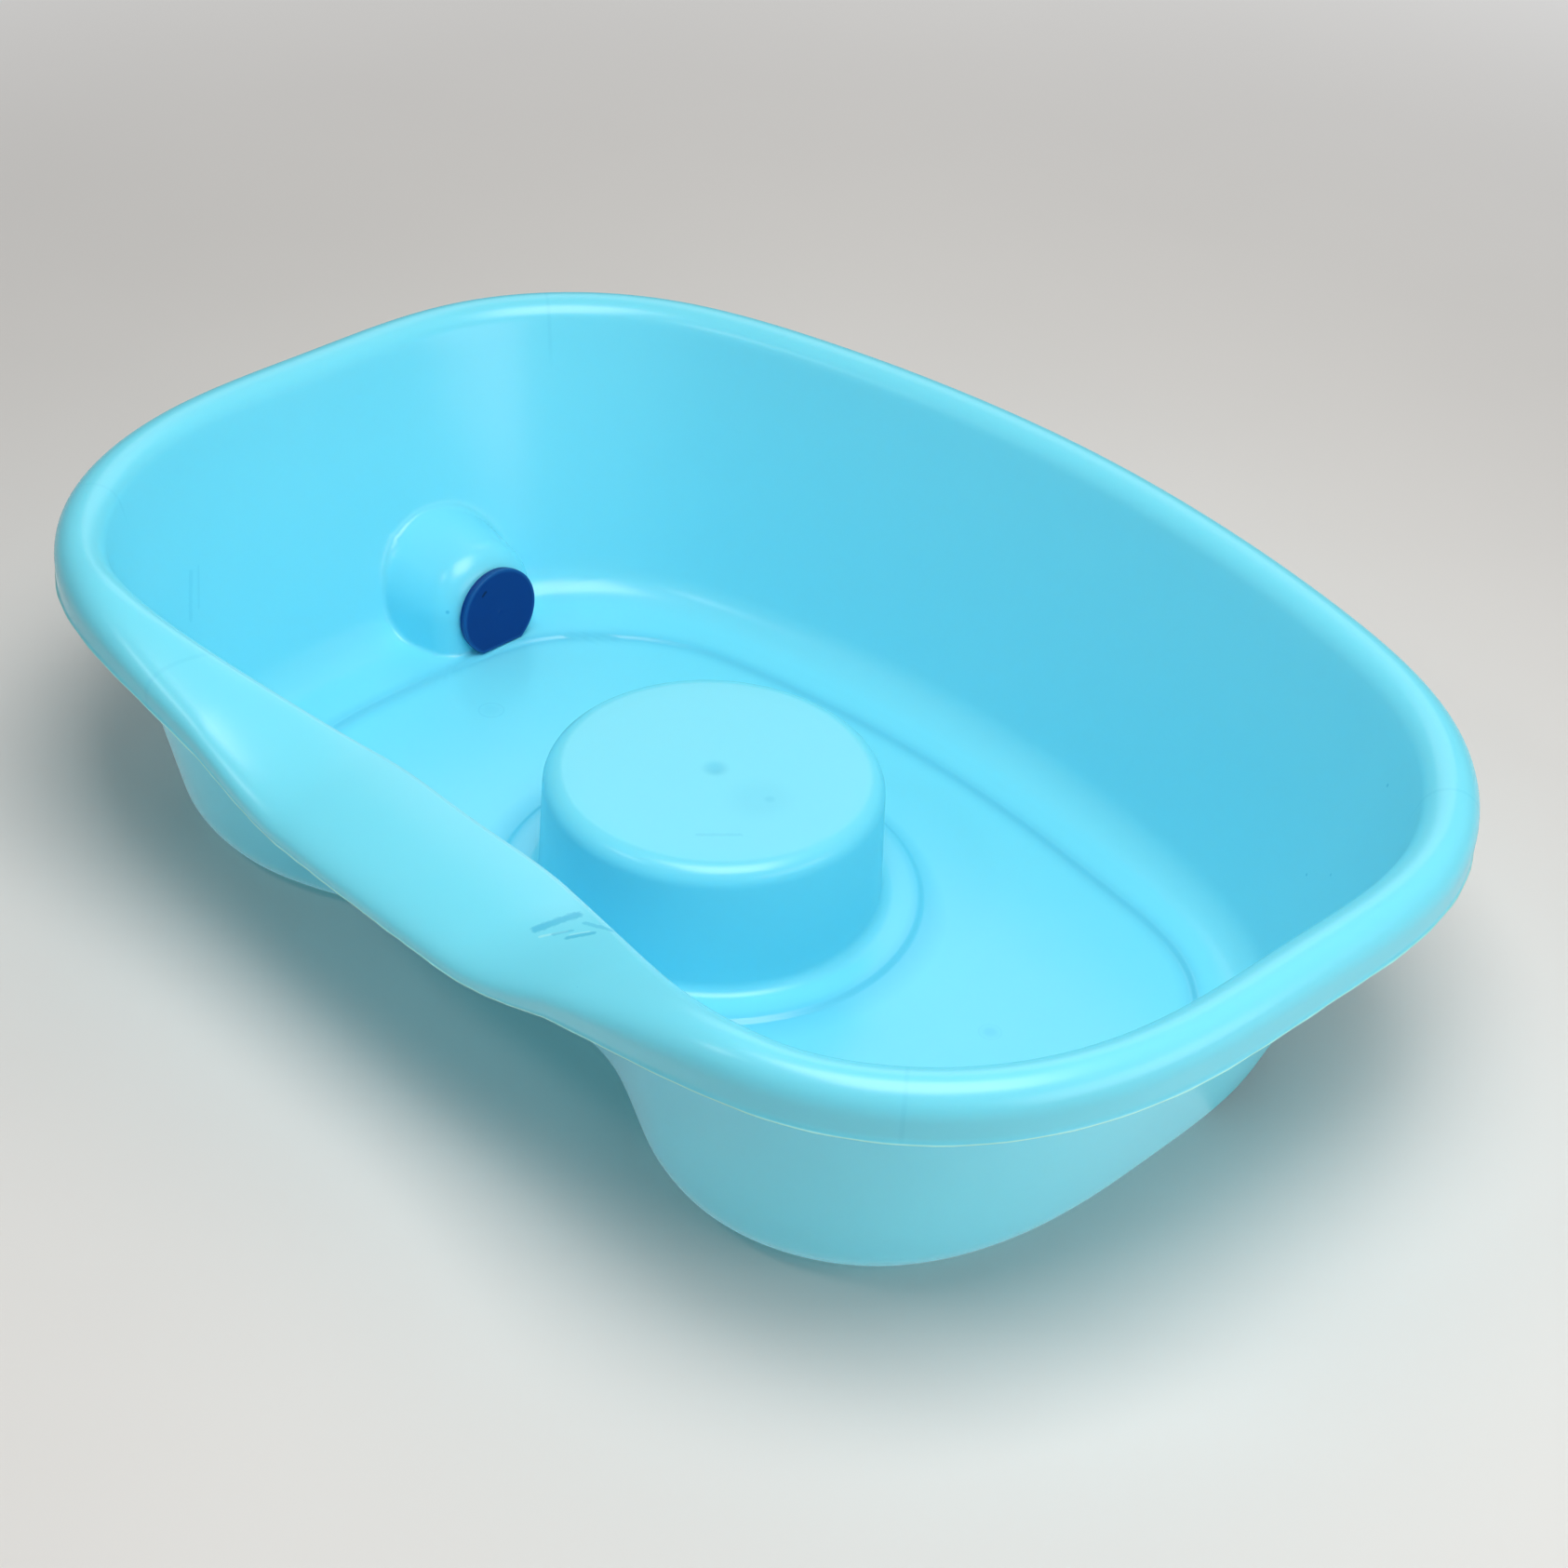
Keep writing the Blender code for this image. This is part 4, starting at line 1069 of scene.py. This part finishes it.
def spot_mark():
    """Group: a soft mask round a point, and a thin ring at its edge."""

    def build(nodes, given):
        offset = nodes.vector("SUBTRACT", given.outputs["Place"], given.outputs["Middle"])
        far = nodes.vector("LENGTH", offset)
        share = nodes.math("DIVIDE", far.outputs["Value"], given.outputs["Radius"])
        from_edge = nodes.math("ABSOLUTE", nodes.math("SUBTRACT", share, 1.0))
        return {"Spot": nodes.range(share, 0.2, 1.0, 1.0, 0.0),
                "Ring": nodes.range(from_edge, 0.0, 0.14, 1.0, 0.0)}

    return node_group("spot_mark", ["Place", "Middle"], ["Radius"], ["Spot", "Ring"], build)


def seam_mark():
    """Group: a mask where a flat plane crosses the surface near a point, as a mould's joint leaves."""

    def build(nodes, given):
        offset = nodes.vector("SUBTRACT", given.outputs["Place"], given.outputs["Middle"])
        through = nodes.vector("DOT_PRODUCT", offset, given.outputs["Across"])
        off_plane = nodes.math("ABSOLUTE", through.outputs["Value"])
        line = nodes.math("DIVIDE", off_plane, given.outputs["Width"])
        far = nodes.math("DIVIDE", nodes.vector("LENGTH", offset).outputs["Value"], given.outputs["Reach"])
        thin = nodes.range(line, 0.2, 1.0, 1.0, 0.0)
        short = nodes.range(far, 0.5, 1.0, 1.0, 0.0)
        return {"Mask": nodes.math("MULTIPLY", thin, short)}

    return node_group("seam_mark", ["Place", "Middle", "Across"], ["Width", "Reach"], ["Mask"], build)


def new_material(name):
    """An empty node material with its Principled shader, its node helper and its object coordinates."""
    material = bpy.data.materials.new(name)
    material.use_nodes = True
    nodes = Nodes(material.node_tree)
    shader = material.node_tree.nodes["Principled BSDF"]
    place = nodes.add("ShaderNodeTexCoord").outputs["Object"]
    return material, nodes, shader, place


# Marks seen on the basin: middle, radius, and how dark the spot and the ring round it are
SPOTS = (
    ((0.0, -0.0205, 0.0586), 0.0065, 0.5, 0.0),
    ((0.0250, -0.0215, 0.0586), 0.0170, 0.16, 0.0),
    ((0.0276, -0.0187, 0.0586), 0.0030, 0.25, 0.0),
    ((0.1307, -0.0023, 0.0026), 0.0042, 0.25, 0.12),
    ((-0.1462, -0.0080, 0.0026), 0.0052, 0.1, 0.2),
    ((-0.1887, 0.0036, 0.0254), 0.0013, 0.9, 0.0),
    ((0.2046, 0.1137, 0.1007), 0.0011, 0.8, 0.0),
    ((0.1827, 0.1081, 0.0504), 0.0009, 0.8, 0.0),
    ((0.1960, 0.1023, 0.0611), 0.0009, 0.7, 0.0),
)
# Start, end, width and strength of each stroke
STROKES = (
    ((0.0616, -0.1617, 0.0930), (0.0660, -0.1480, 0.0938), 0.0027, 0.9),
    ((0.0690, -0.1605, 0.0940), (0.0722, -0.1558, 0.0950), 0.0013, 0.6),
    ((0.0748, -0.1595, 0.0958), (0.0794, -0.1528, 0.0972), 0.0016, 0.9),
    ((0.0720, -0.1497, 0.0953), (0.0826, -0.1477, 0.0974), 0.0014, 0.6),
    ((0.0262, -0.0540, 0.0586), (0.0364, -0.0421, 0.0586), 0.0012, 0.25),
    ((-0.2225, -0.0999, 0.0702), (-0.2150, -0.1064, 0.0545), 0.0018, 0.2),
    ((-0.2245, -0.0950, 0.0700), (-0.2180, -0.1000, 0.0560), 0.0012, 0.15),
)
# Start, end, width and strength of each pale scuff beside the strokes
SCUFFS = (
    ((0.0660, -0.1640, 0.0934), (0.0713, -0.1568, 0.0948), 0.0009, 0.6),
    ((0.0740, -0.1578, 0.0955), (0.0775, -0.1530, 0.0966), 0.0008, 0.5),
)
# Middle of each joint line of the mould over the rim, and the direction across the line
SEAMS = (
    ((-0.2300, 0.0953, 0.1189), (0.56, 0.83, 0.0)),
    ((-0.2247, -0.1389, 0.1244), (0.69, -0.72, 0.0)),
    ((-0.1201, -0.1810, 0.1105), (0.995, -0.1, 0.0)),
    ((0.2192, -0.1540, 0.1224), (0.76, 0.65, 0.0)),
    ((0.2374, 0.0988, 0.1243), (-0.53, 0.85, 0.0)),
)
SEAM_WIDTH = 0.0013
SEAM_REACH = 0.024
SEAM_STRENGTH = 0.13
# How closely the specks are strewn, how few of them show, and how large and how strong they are
SPECK_SCALE = 48.0
SPECK_RARITY = 0.8
SPECK_SIZE = 0.035
SPECK_STRENGTH = 0.5
# How deep a mark lies, set against the plastic's own grain
MARK_DEPTH = 0.5
# What is mixed into the basin's own colour: shares of it for its deeper tone and for stains and painted
# shade, and the colours of the trimmed lip with its painted glow, of the painted highlight and of the
# scuffs
DEEPER_SHARES = (0.95, 0.985, 0.99, 1.0)
STAIN_AND_SHADE_SHARES = (0.45, 0.72, 0.82, 1.0)
TRIMMED_GLOW_COLOUR = (0.6, 0.95, 0.76, 1.0)
NECK_HIGHLIGHT_COLOUR = (0.62, 0.9, 0.96, 1.0)
SCUFF_COLOUR = (0.4, 0.88, 0.97, 1.0)
# How strongly the trimmed lip's pale colour and painted glow, the painted highlight along the neck rest's
# edge and the painted shade in the crease show
TRIMMED_GLOW_SHARE = 0.6
NECK_HIGHLIGHT_SHARE = 0.3
SHADE_SHARE = 0.5
# The plug's cloudy tone, the painted highlight on its edge and the nick in its face, and how strongly these
# two show
LIGHTER_NAVY = (0.0, 0.042, 0.22, 1.0)
EDGE_HIGHLIGHT_NAVY = (0.02, 0.16, 0.42, 1.0)
NICK_NAVY = (0.0, 0.006, 0.04, 1.0)
NICK = {"Start": (-0.1810, 0.0168, 0.0318), "End": (-0.1812, 0.0184, 0.0330), "Width": 0.0009}
EDGE_HIGHLIGHT_SHARE = 0.45
NICK_SHARE = 0.8
DUSTY_RUBBER = (0.05, 0.05, 0.055, 1.0)


def basin_marks(nodes, place):
    """How strongly each place is marked: spots, strokes, the mould's joint lines and fine specks."""
    marked = 0.0
    for middle, radius, spot, ring in SPOTS:
        mark = nodes.effect(spot_mark, Place=place, Middle=middle, Radius=radius)
        marked = nodes.math("MULTIPLY_ADD", mark.outputs["Spot"], spot, marked)
        if ring:
            marked = nodes.math("MULTIPLY_ADD", mark.outputs["Ring"], ring, marked)
    for start, end, width, strength in STROKES:
        mark = nodes.effect(line_mark, Place=place, Start=start, End=end, Width=width)
        marked = nodes.math("MULTIPLY_ADD", mark, strength, marked)
    for middle, across in SEAMS:
        mark = nodes.effect(seam_mark, Place=place, Middle=middle, Across=across, Width=SEAM_WIDTH,
                            Reach=SEAM_REACH)
        marked = nodes.math("MULTIPLY_ADD", mark, SEAM_STRENGTH, marked)
    strewn = nodes.effect(specks, Place=place, Scale=SPECK_SCALE, Rarity=SPECK_RARITY, Size=SPECK_SIZE)
    return nodes.math("MULTIPLY_ADD", strewn, SPECK_STRENGTH, marked)


def basin_material(name, colours):
    """Sky-blue polypropylene: satin, smooth and a little translucent, with the marks of its mould and
    painted shade, highlight and lip glow.
    """
    material, nodes, shader, place = new_material(name)
    grain = nodes.effect(moulded_grain, Place=place, Grain_Scale=1400.0, Grain=0.05, Wave=0.3)
    base = (*colours.basin, 1.0)
    deeper = tuple(channel * share for channel, share in zip(base, DEEPER_SHARES))
    stain_and_shade = tuple(channel * share for channel, share in zip(base, STAIN_AND_SHADE_SHARES))
    tone = nodes.mix(grain.outputs["Tone"], base, deeper)
    # The trimmed lip's pale colour, partly a painted glow of light through the thin flash
    tone = nodes.mix(nodes.math("MULTIPLY", nodes.mask("trimmed_lip_glow"), TRIMMED_GLOW_SHARE), tone, TRIMMED_GLOW_COLOUR)
    # Painted highlight along the neck rest's inner edge
    tone = nodes.mix(nodes.math("MULTIPLY", nodes.mask("neck_edge_highlight"), NECK_HIGHLIGHT_SHARE), tone, NECK_HIGHLIGHT_COLOUR)
    # Painted shade in the panel's crease and round the head rest's ring, darkening the colour towards the
    # stain colour
    tone = nodes.mix(nodes.math("MULTIPLY", nodes.mask("crease_shade"), SHADE_SHARE), tone, stain_and_shade)
    for start, end, width, strength in SCUFFS:
        mark = nodes.effect(line_mark, Place=place, Start=start, End=end, Width=width)
        tone = nodes.mix(nodes.math("MULTIPLY", mark, strength), tone, SCUFF_COLOUR)
    marks = nodes.add("ShaderNodeClamp", Value=basin_marks(nodes, place))
    tone = nodes.mix(marks, tone, stain_and_shade)
    nodes.join(tone, shader.inputs["Base Color"])
    shader.inputs["Roughness"].default_value = 0.27
    height = nodes.math("SUBTRACT", grain.outputs["Height"], nodes.math("MULTIPLY", marks, MARK_DEPTH))
    bump = nodes.add("ShaderNodeBump", Strength=0.08, Distance=0.001, Height=height)
    nodes.join(bump, shader.inputs["Normal"])
    shader.inputs["Subsurface Weight"].default_value = 0.15
    shader.inputs["Subsurface Radius"].default_value = (0.3, 0.8, 1.0)
    shader.inputs["Subsurface Scale"].default_value = 0.003
    shader.inputs["IOR"].default_value = 1.49
    return material


def plug_material(name, colours):
    """Navy plastic: satin, with a painted highlight along the disc's front edge and a dark nick."""
    material, nodes, shader, place = new_material(name)
    grain = nodes.effect(moulded_grain, Place=place, Grain_Scale=2600.0, Grain=0.3, Wave=0.5)
    base = (*colours.plug, 1.0)
    tone = nodes.mix(grain.outputs["Tone"], base, LIGHTER_NAVY)
    # Painted highlight round the disc's front edge
    tone = nodes.mix(nodes.math("MULTIPLY", nodes.mask("plug_edge_highlight"), EDGE_HIGHLIGHT_SHARE), tone, EDGE_HIGHLIGHT_NAVY)
    nick = nodes.effect(line_mark, Place=place, **NICK)
    tone = nodes.mix(nodes.math("MULTIPLY", nick, NICK_SHARE), tone, NICK_NAVY)
    shader.inputs["Specular IOR Level"].default_value = 0.2
    nodes.join(tone, shader.inputs["Base Color"])
    nodes.join(nodes.range(grain.outputs["Fine"], 0.3, 0.7, 0.3, 0.42), shader.inputs["Roughness"])
    bump = nodes.add("ShaderNodeBump", Strength=0.2, Distance=0.0006, Height=grain.outputs["Height"])
    nodes.join(bump, shader.inputs["Normal"])
    return material


def rubber_material(name, colours):
    """Dark rubber: matte, with a dusty bloom."""
    material, nodes, shader, place = new_material(name)
    grain = nodes.effect(moulded_grain, Place=place, Grain_Scale=4000.0, Grain=0.6, Wave=0.3)
    base = (*colours.rubber, 1.0)
    tone = nodes.mix(nodes.range(grain.outputs["Tone"], 0.4, 0.75), base, DUSTY_RUBBER)
    nodes.join(tone, shader.inputs["Base Color"])
    nodes.join(nodes.range(grain.outputs["Fine"], 0.3, 0.7, 0.62, 0.8), shader.inputs["Roughness"])
    bump = nodes.add("ShaderNodeBump", Strength=0.35, Distance=0.0005, Height=grain.outputs["Height"])
    nodes.join(bump, shader.inputs["Normal"])
    return material


# How bright the far background looks to the camera, where 1 is white, and how strongly it lights
BACKGROUND_LEVEL = 0.9
SURROUND_LIGHT = 0.14
WHITE = (1.0, 1.0, 1.0, 1.0)

# Where the floor starts and ends to fade, from the middle of the basin
FADE_START = 0.5
FADE_END = 1.7
FLOOR_REACH = 6.0
FLOOR_GAP = 0.0005


def floor_material(colours):
    """Pale matt floor that fades, to the camera alone, into the white surround far from the basin."""
    material, nodes, shader, place = new_material("pale_floor")
    tint = nodes.add("ShaderNodeTexNoise", Vector=place, Scale=3.0, Detail=3.0)
    base = (*colours.floor, 1.0)
    shade = tuple(0.97 * channel for channel in base)
    nodes.join(nodes.mix(nodes.range(tint, 0.3, 0.7), base, shade), shader.inputs["Base Color"])
    shader.inputs["Roughness"].default_value = 0.9
    away = nodes.range(nodes.vector("LENGTH", place).outputs["Value"], FADE_START, FADE_END)
    path = nodes.add("ShaderNodeLightPath")
    shown = nodes.add("ShaderNodeEmission", Color=WHITE, Strength=BACKGROUND_LEVEL)
    faded = nodes.math("MULTIPLY", away, path.outputs["Is Camera Ray"])
    mixed = nodes.add("ShaderNodeMixShader", n0=faded, n1=shader, n2=shown)
    nodes.join(mixed, material.node_tree.nodes["Material Output"].inputs["Surface"])
    return material


FINISHES = {"sky_blue_polypropylene": basin_material, "navy_plastic": plug_material,
            "dark_rubber": rubber_material}


def add_piece(context, build, name, finish, body, node):
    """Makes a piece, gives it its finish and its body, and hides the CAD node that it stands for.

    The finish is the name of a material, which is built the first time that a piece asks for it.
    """
    scene = context.scene
    made = build(scene.basin_sizes, scene.drain_sizes, name)
    material = bpy.data.materials.get(finish) or FINISHES[finish](finish, scene.basin_colours)
    made.data.materials.append(material)
    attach(made, body)
    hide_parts(node)
    return {"FINISHED"}


class BASIN_OT_shell(bpy.types.Operator):
    """Makes the moulded basin with its rim, neck rest, head rest and drain housing"""

    bl_idname = "basin.shell"
    bl_label = "Basin Shell"

    def execute(self, context):
        return add_piece(context, basin_shell, "moulded_basin", "sky_blue_polypropylene", "basin",
                         "basin_shell")


class BASIN_OT_drain_body(bpy.types.Operator):
    """Makes the flange, threaded sleeve and hose tail"""

    bl_idname = "basin.drain_body"
    bl_label = "Drain Body"

    def execute(self, context):
        return add_piece(context, drain_body_piece, "flange_and_tail", "navy_plastic", "basin",
                         "drain_body")


class BASIN_OT_nut(bpy.types.Operator):
    """Makes the nut behind the wall"""

    bl_idname = "basin.nut"
    bl_label = "Drain Nut"

    def execute(self, context):
        return add_piece(context, nut_piece, "finger_nut", "navy_plastic", "basin", "drain_nut")


class BASIN_OT_gasket(bpy.types.Operator):
    """Makes the rubber washer behind the wall"""

    bl_idname = "basin.gasket"
    bl_label = "Drain Gasket"

    def execute(self, context):
        return add_piece(context, washer_piece, "rubber_washer", "dark_rubber", "basin", "drain_gasket")


class BASIN_OT_plug(bpy.types.Operator):
    """Makes the push-in plug"""

    bl_idname = "basin.plug"
    bl_label = "Plug"

    def execute(self, context):
        return add_piece(context, plug_piece, "push_in_plug", "navy_plastic", "plug", "drain_plug")


class BASIN_OT_seal(bpy.types.Operator):
    """Makes the sealing ring on the plug's stem"""

    bl_idname = "basin.seal"
    bl_label = "Plug Seal"

    def execute(self, context):
        return add_piece(context, seal_piece, "sealing_ring", "dark_rubber", "plug", "plug_seal")


# Name, place, width, height and power of each lamp over the basin
LAMPS = (
    ("overhead_softbox", (0.3, -0.14, 1.28), 0.85, 0.85, 13.0),
    ("back_left_window", (-0.66, 0.82, 0.9), 1.0, 0.6, 2.3),
    ("right_softbox", (1.13, 0.16, 0.46), 1.0, 0.5, 3.6),
    ("front_left_softbox", (-0.28, -0.74, 0.88), 0.3, 0.1, 0.8),
)
BASIN_MIDDLE = (0.0, 0.0, 0.05)

# A weak warm lamp just over the floor, unseen by the camera, for the light that a floor throws back up
BOUNCE_PLACE = (0.0, -0.006, -0.0003)
STRAIGHT_UP = (0.0, 0.0, 1.0)
BOUNCE_SIZE = (0.8, 0.64)
BOUNCE_WATTS = 0.34
BOUNCE_TINT = (1.0, 0.92, 0.87)


def soft_light(name, place, aim, width, height, watts, tint=(1.0, 1.0, 1.0)):
    """A flat lamp at a place, turned towards the point that it is aimed at."""
    lamp = bpy.data.lights.new(name, "AREA")
    lamp.shape = "RECTANGLE"
    lamp.size = width
    lamp.size_y = height
    lamp.energy = watts
    lamp.color = tint
    made = bpy.data.objects.new(name, lamp)
    bpy.context.scene.collection.objects.link(made)
    away = np.array(place, float) - np.array(aim, float)
    away = away / np.linalg.norm(away)
    side = np.cross([0.0, 1.0, 0.0] if abs(away[2]) > 0.99 else [0.0, 0.0, 1.0], away)
    side = side / np.linalg.norm(side)
    up = np.cross(away, side)
    turn = Matrix([[side[k], up[k], away[k]] for k in range(3)]).to_4x4()
    made.matrix_world = Matrix.Translation(place) @ turn
    return made


CAMERA_PLACE = (0.6341, -0.6553, 0.7011)
CAMERA_AZIMUTH = 43.29
CAMERA_ELEVATION = 35.84
CAMERA_ROLL = 3.72
CAMERA_LENS = 67.24
SENSOR_WIDTH = 36.0


def photo_camera():
    """The camera where the photo was taken from, turned about its own axis as the photo is."""
    data = bpy.data.cameras.new("photo_camera")
    data.sensor_fit = "HORIZONTAL"
    data.sensor_width = SENSOR_WIDTH
    data.lens = CAMERA_LENS
    made = bpy.data.objects.new("photo_camera", data)
    bpy.context.scene.collection.objects.link(made)
    azimuth, elevation, roll = (math.radians(a) for a in (CAMERA_AZIMUTH, CAMERA_ELEVATION, CAMERA_ROLL))
    back = np.array([math.sin(azimuth) * math.cos(elevation), -math.cos(azimuth) * math.cos(elevation),
                     math.sin(elevation)])
    level = np.array([math.cos(azimuth), math.sin(azimuth), 0.0])
    upright = np.cross(back, level)
    right = level * math.cos(roll) + upright * math.sin(roll)
    up = upright * math.cos(roll) - level * math.sin(roll)
    turn = Matrix([[right[k], up[k], back[k]] for k in range(3)]).to_4x4()
    made.matrix_world = Matrix.Translation(CAMERA_PLACE) @ turn
    bpy.context.scene.camera = made


def studio_world():
    """An even pale surround that lights softly and shows nearly white to the camera alone."""
    scene = bpy.context.scene
    world = bpy.data.worlds.new("studio")
    scene.world = world
    world.use_nodes = True
    nodes = Nodes(world.node_tree)
    shown = world.node_tree.nodes["Background"]
    shown.inputs["Color"].default_value = WHITE
    shown.inputs["Strength"].default_value = BACKGROUND_LEVEL
    lighting = nodes.add("ShaderNodeBackground", Color=WHITE, Strength=SURROUND_LIGHT)
    path = nodes.add("ShaderNodeLightPath")
    straight = nodes.math("MAXIMUM", path.outputs["Is Camera Ray"], path.outputs["Is Transmission Ray"])
    chosen = nodes.add("ShaderNodeMixShader", n0=straight, n1=lighting, n2=shown)
    output = world.node_tree.nodes["World Output"]
    nodes.join(chosen, output.inputs["Surface"])


class BASIN_OT_stage(bpy.types.Operator):
    """Makes the floor, the lamps, the surround and the camera"""

    bl_idname = "basin.stage"
    bl_label = "Stage"

    def execute(self, context):
        scene = context.scene
        scene.view_settings.view_transform = "Standard"
        mesh = bpy.data.meshes.new("floor")
        corners = [(x * FLOOR_REACH, y * FLOOR_REACH, 0.0) for x, y in ((-1, -1), (1, -1), (1, 1), (-1, 1))]
        mesh.from_pydata(corners, [], [(0, 1, 2, 3)])
        floor = bpy.data.objects.new("floor", mesh)
        floor.location = (0.0, 0.0, -FLOOR_GAP)
        scene.collection.objects.link(floor)
        mesh.materials.append(floor_material(scene.basin_colours))
        studio_world()
        for name, place, width, height, watts in LAMPS:
            soft_light(name, place, BASIN_MIDDLE, width, height, watts)
        bounce = soft_light("floor_bounce", BOUNCE_PLACE, STRAIGHT_UP, *BOUNCE_SIZE, BOUNCE_WATTS,
                            BOUNCE_TINT)
        bounce.data.shape = "ELLIPSE"
        bounce.visible_camera = False
        photo_camera()
        return {"FINISHED"}


PIECES = (BASIN_OT_shell, BASIN_OT_drain_body, BASIN_OT_gasket, BASIN_OT_nut, BASIN_OT_plug,
          BASIN_OT_seal, BASIN_OT_stage)


class BASIN_PT_pieces(bpy.types.Panel):
    """Lists the pieces and the sizes that shape them"""

    bl_idname = "BASIN_PT_pieces"
    bl_label = "Shampoo Basin"
    bl_space_type = "VIEW_3D"
    bl_region_type = "UI"
    bl_category = "Basin"

    def draw(self, context):
        layout = self.layout
        for piece in PIECES:
            layout.operator(piece.bl_idname)
        for group in (context.scene.basin_sizes, context.scene.drain_sizes, context.scene.basin_colours):
            box = layout.box()
            for name in group.__annotations__:
                box.prop(group, name)


CLASSES = (BasinSizes, DrainSizes, BasinColours, *PIECES, BASIN_PT_pieces)


def register():
    """Adds the classes and the scene's groups of sizes and colours."""
    for added in CLASSES:
        bpy.utils.register_class(added)
    bpy.types.Scene.basin_sizes = PointerProperty(type=BasinSizes)
    bpy.types.Scene.drain_sizes = PointerProperty(type=DrainSizes)
    bpy.types.Scene.basin_colours = PointerProperty(type=BasinColours)


def unregister():
    """Takes away what register added."""
    del bpy.types.Scene.basin_colours
    del bpy.types.Scene.drain_sizes
    del bpy.types.Scene.basin_sizes
    for added in reversed(CLASSES):
        bpy.utils.unregister_class(added)


def main():
    """Makes every piece and the stage."""
    register()
    bpy.ops.basin.shell()
    bpy.ops.basin.drain_body()
    bpy.ops.basin.gasket()
    bpy.ops.basin.nut()
    bpy.ops.basin.plug()
    bpy.ops.basin.seal()
    bpy.ops.basin.stage()


if __name__ == "__main__":
    main()
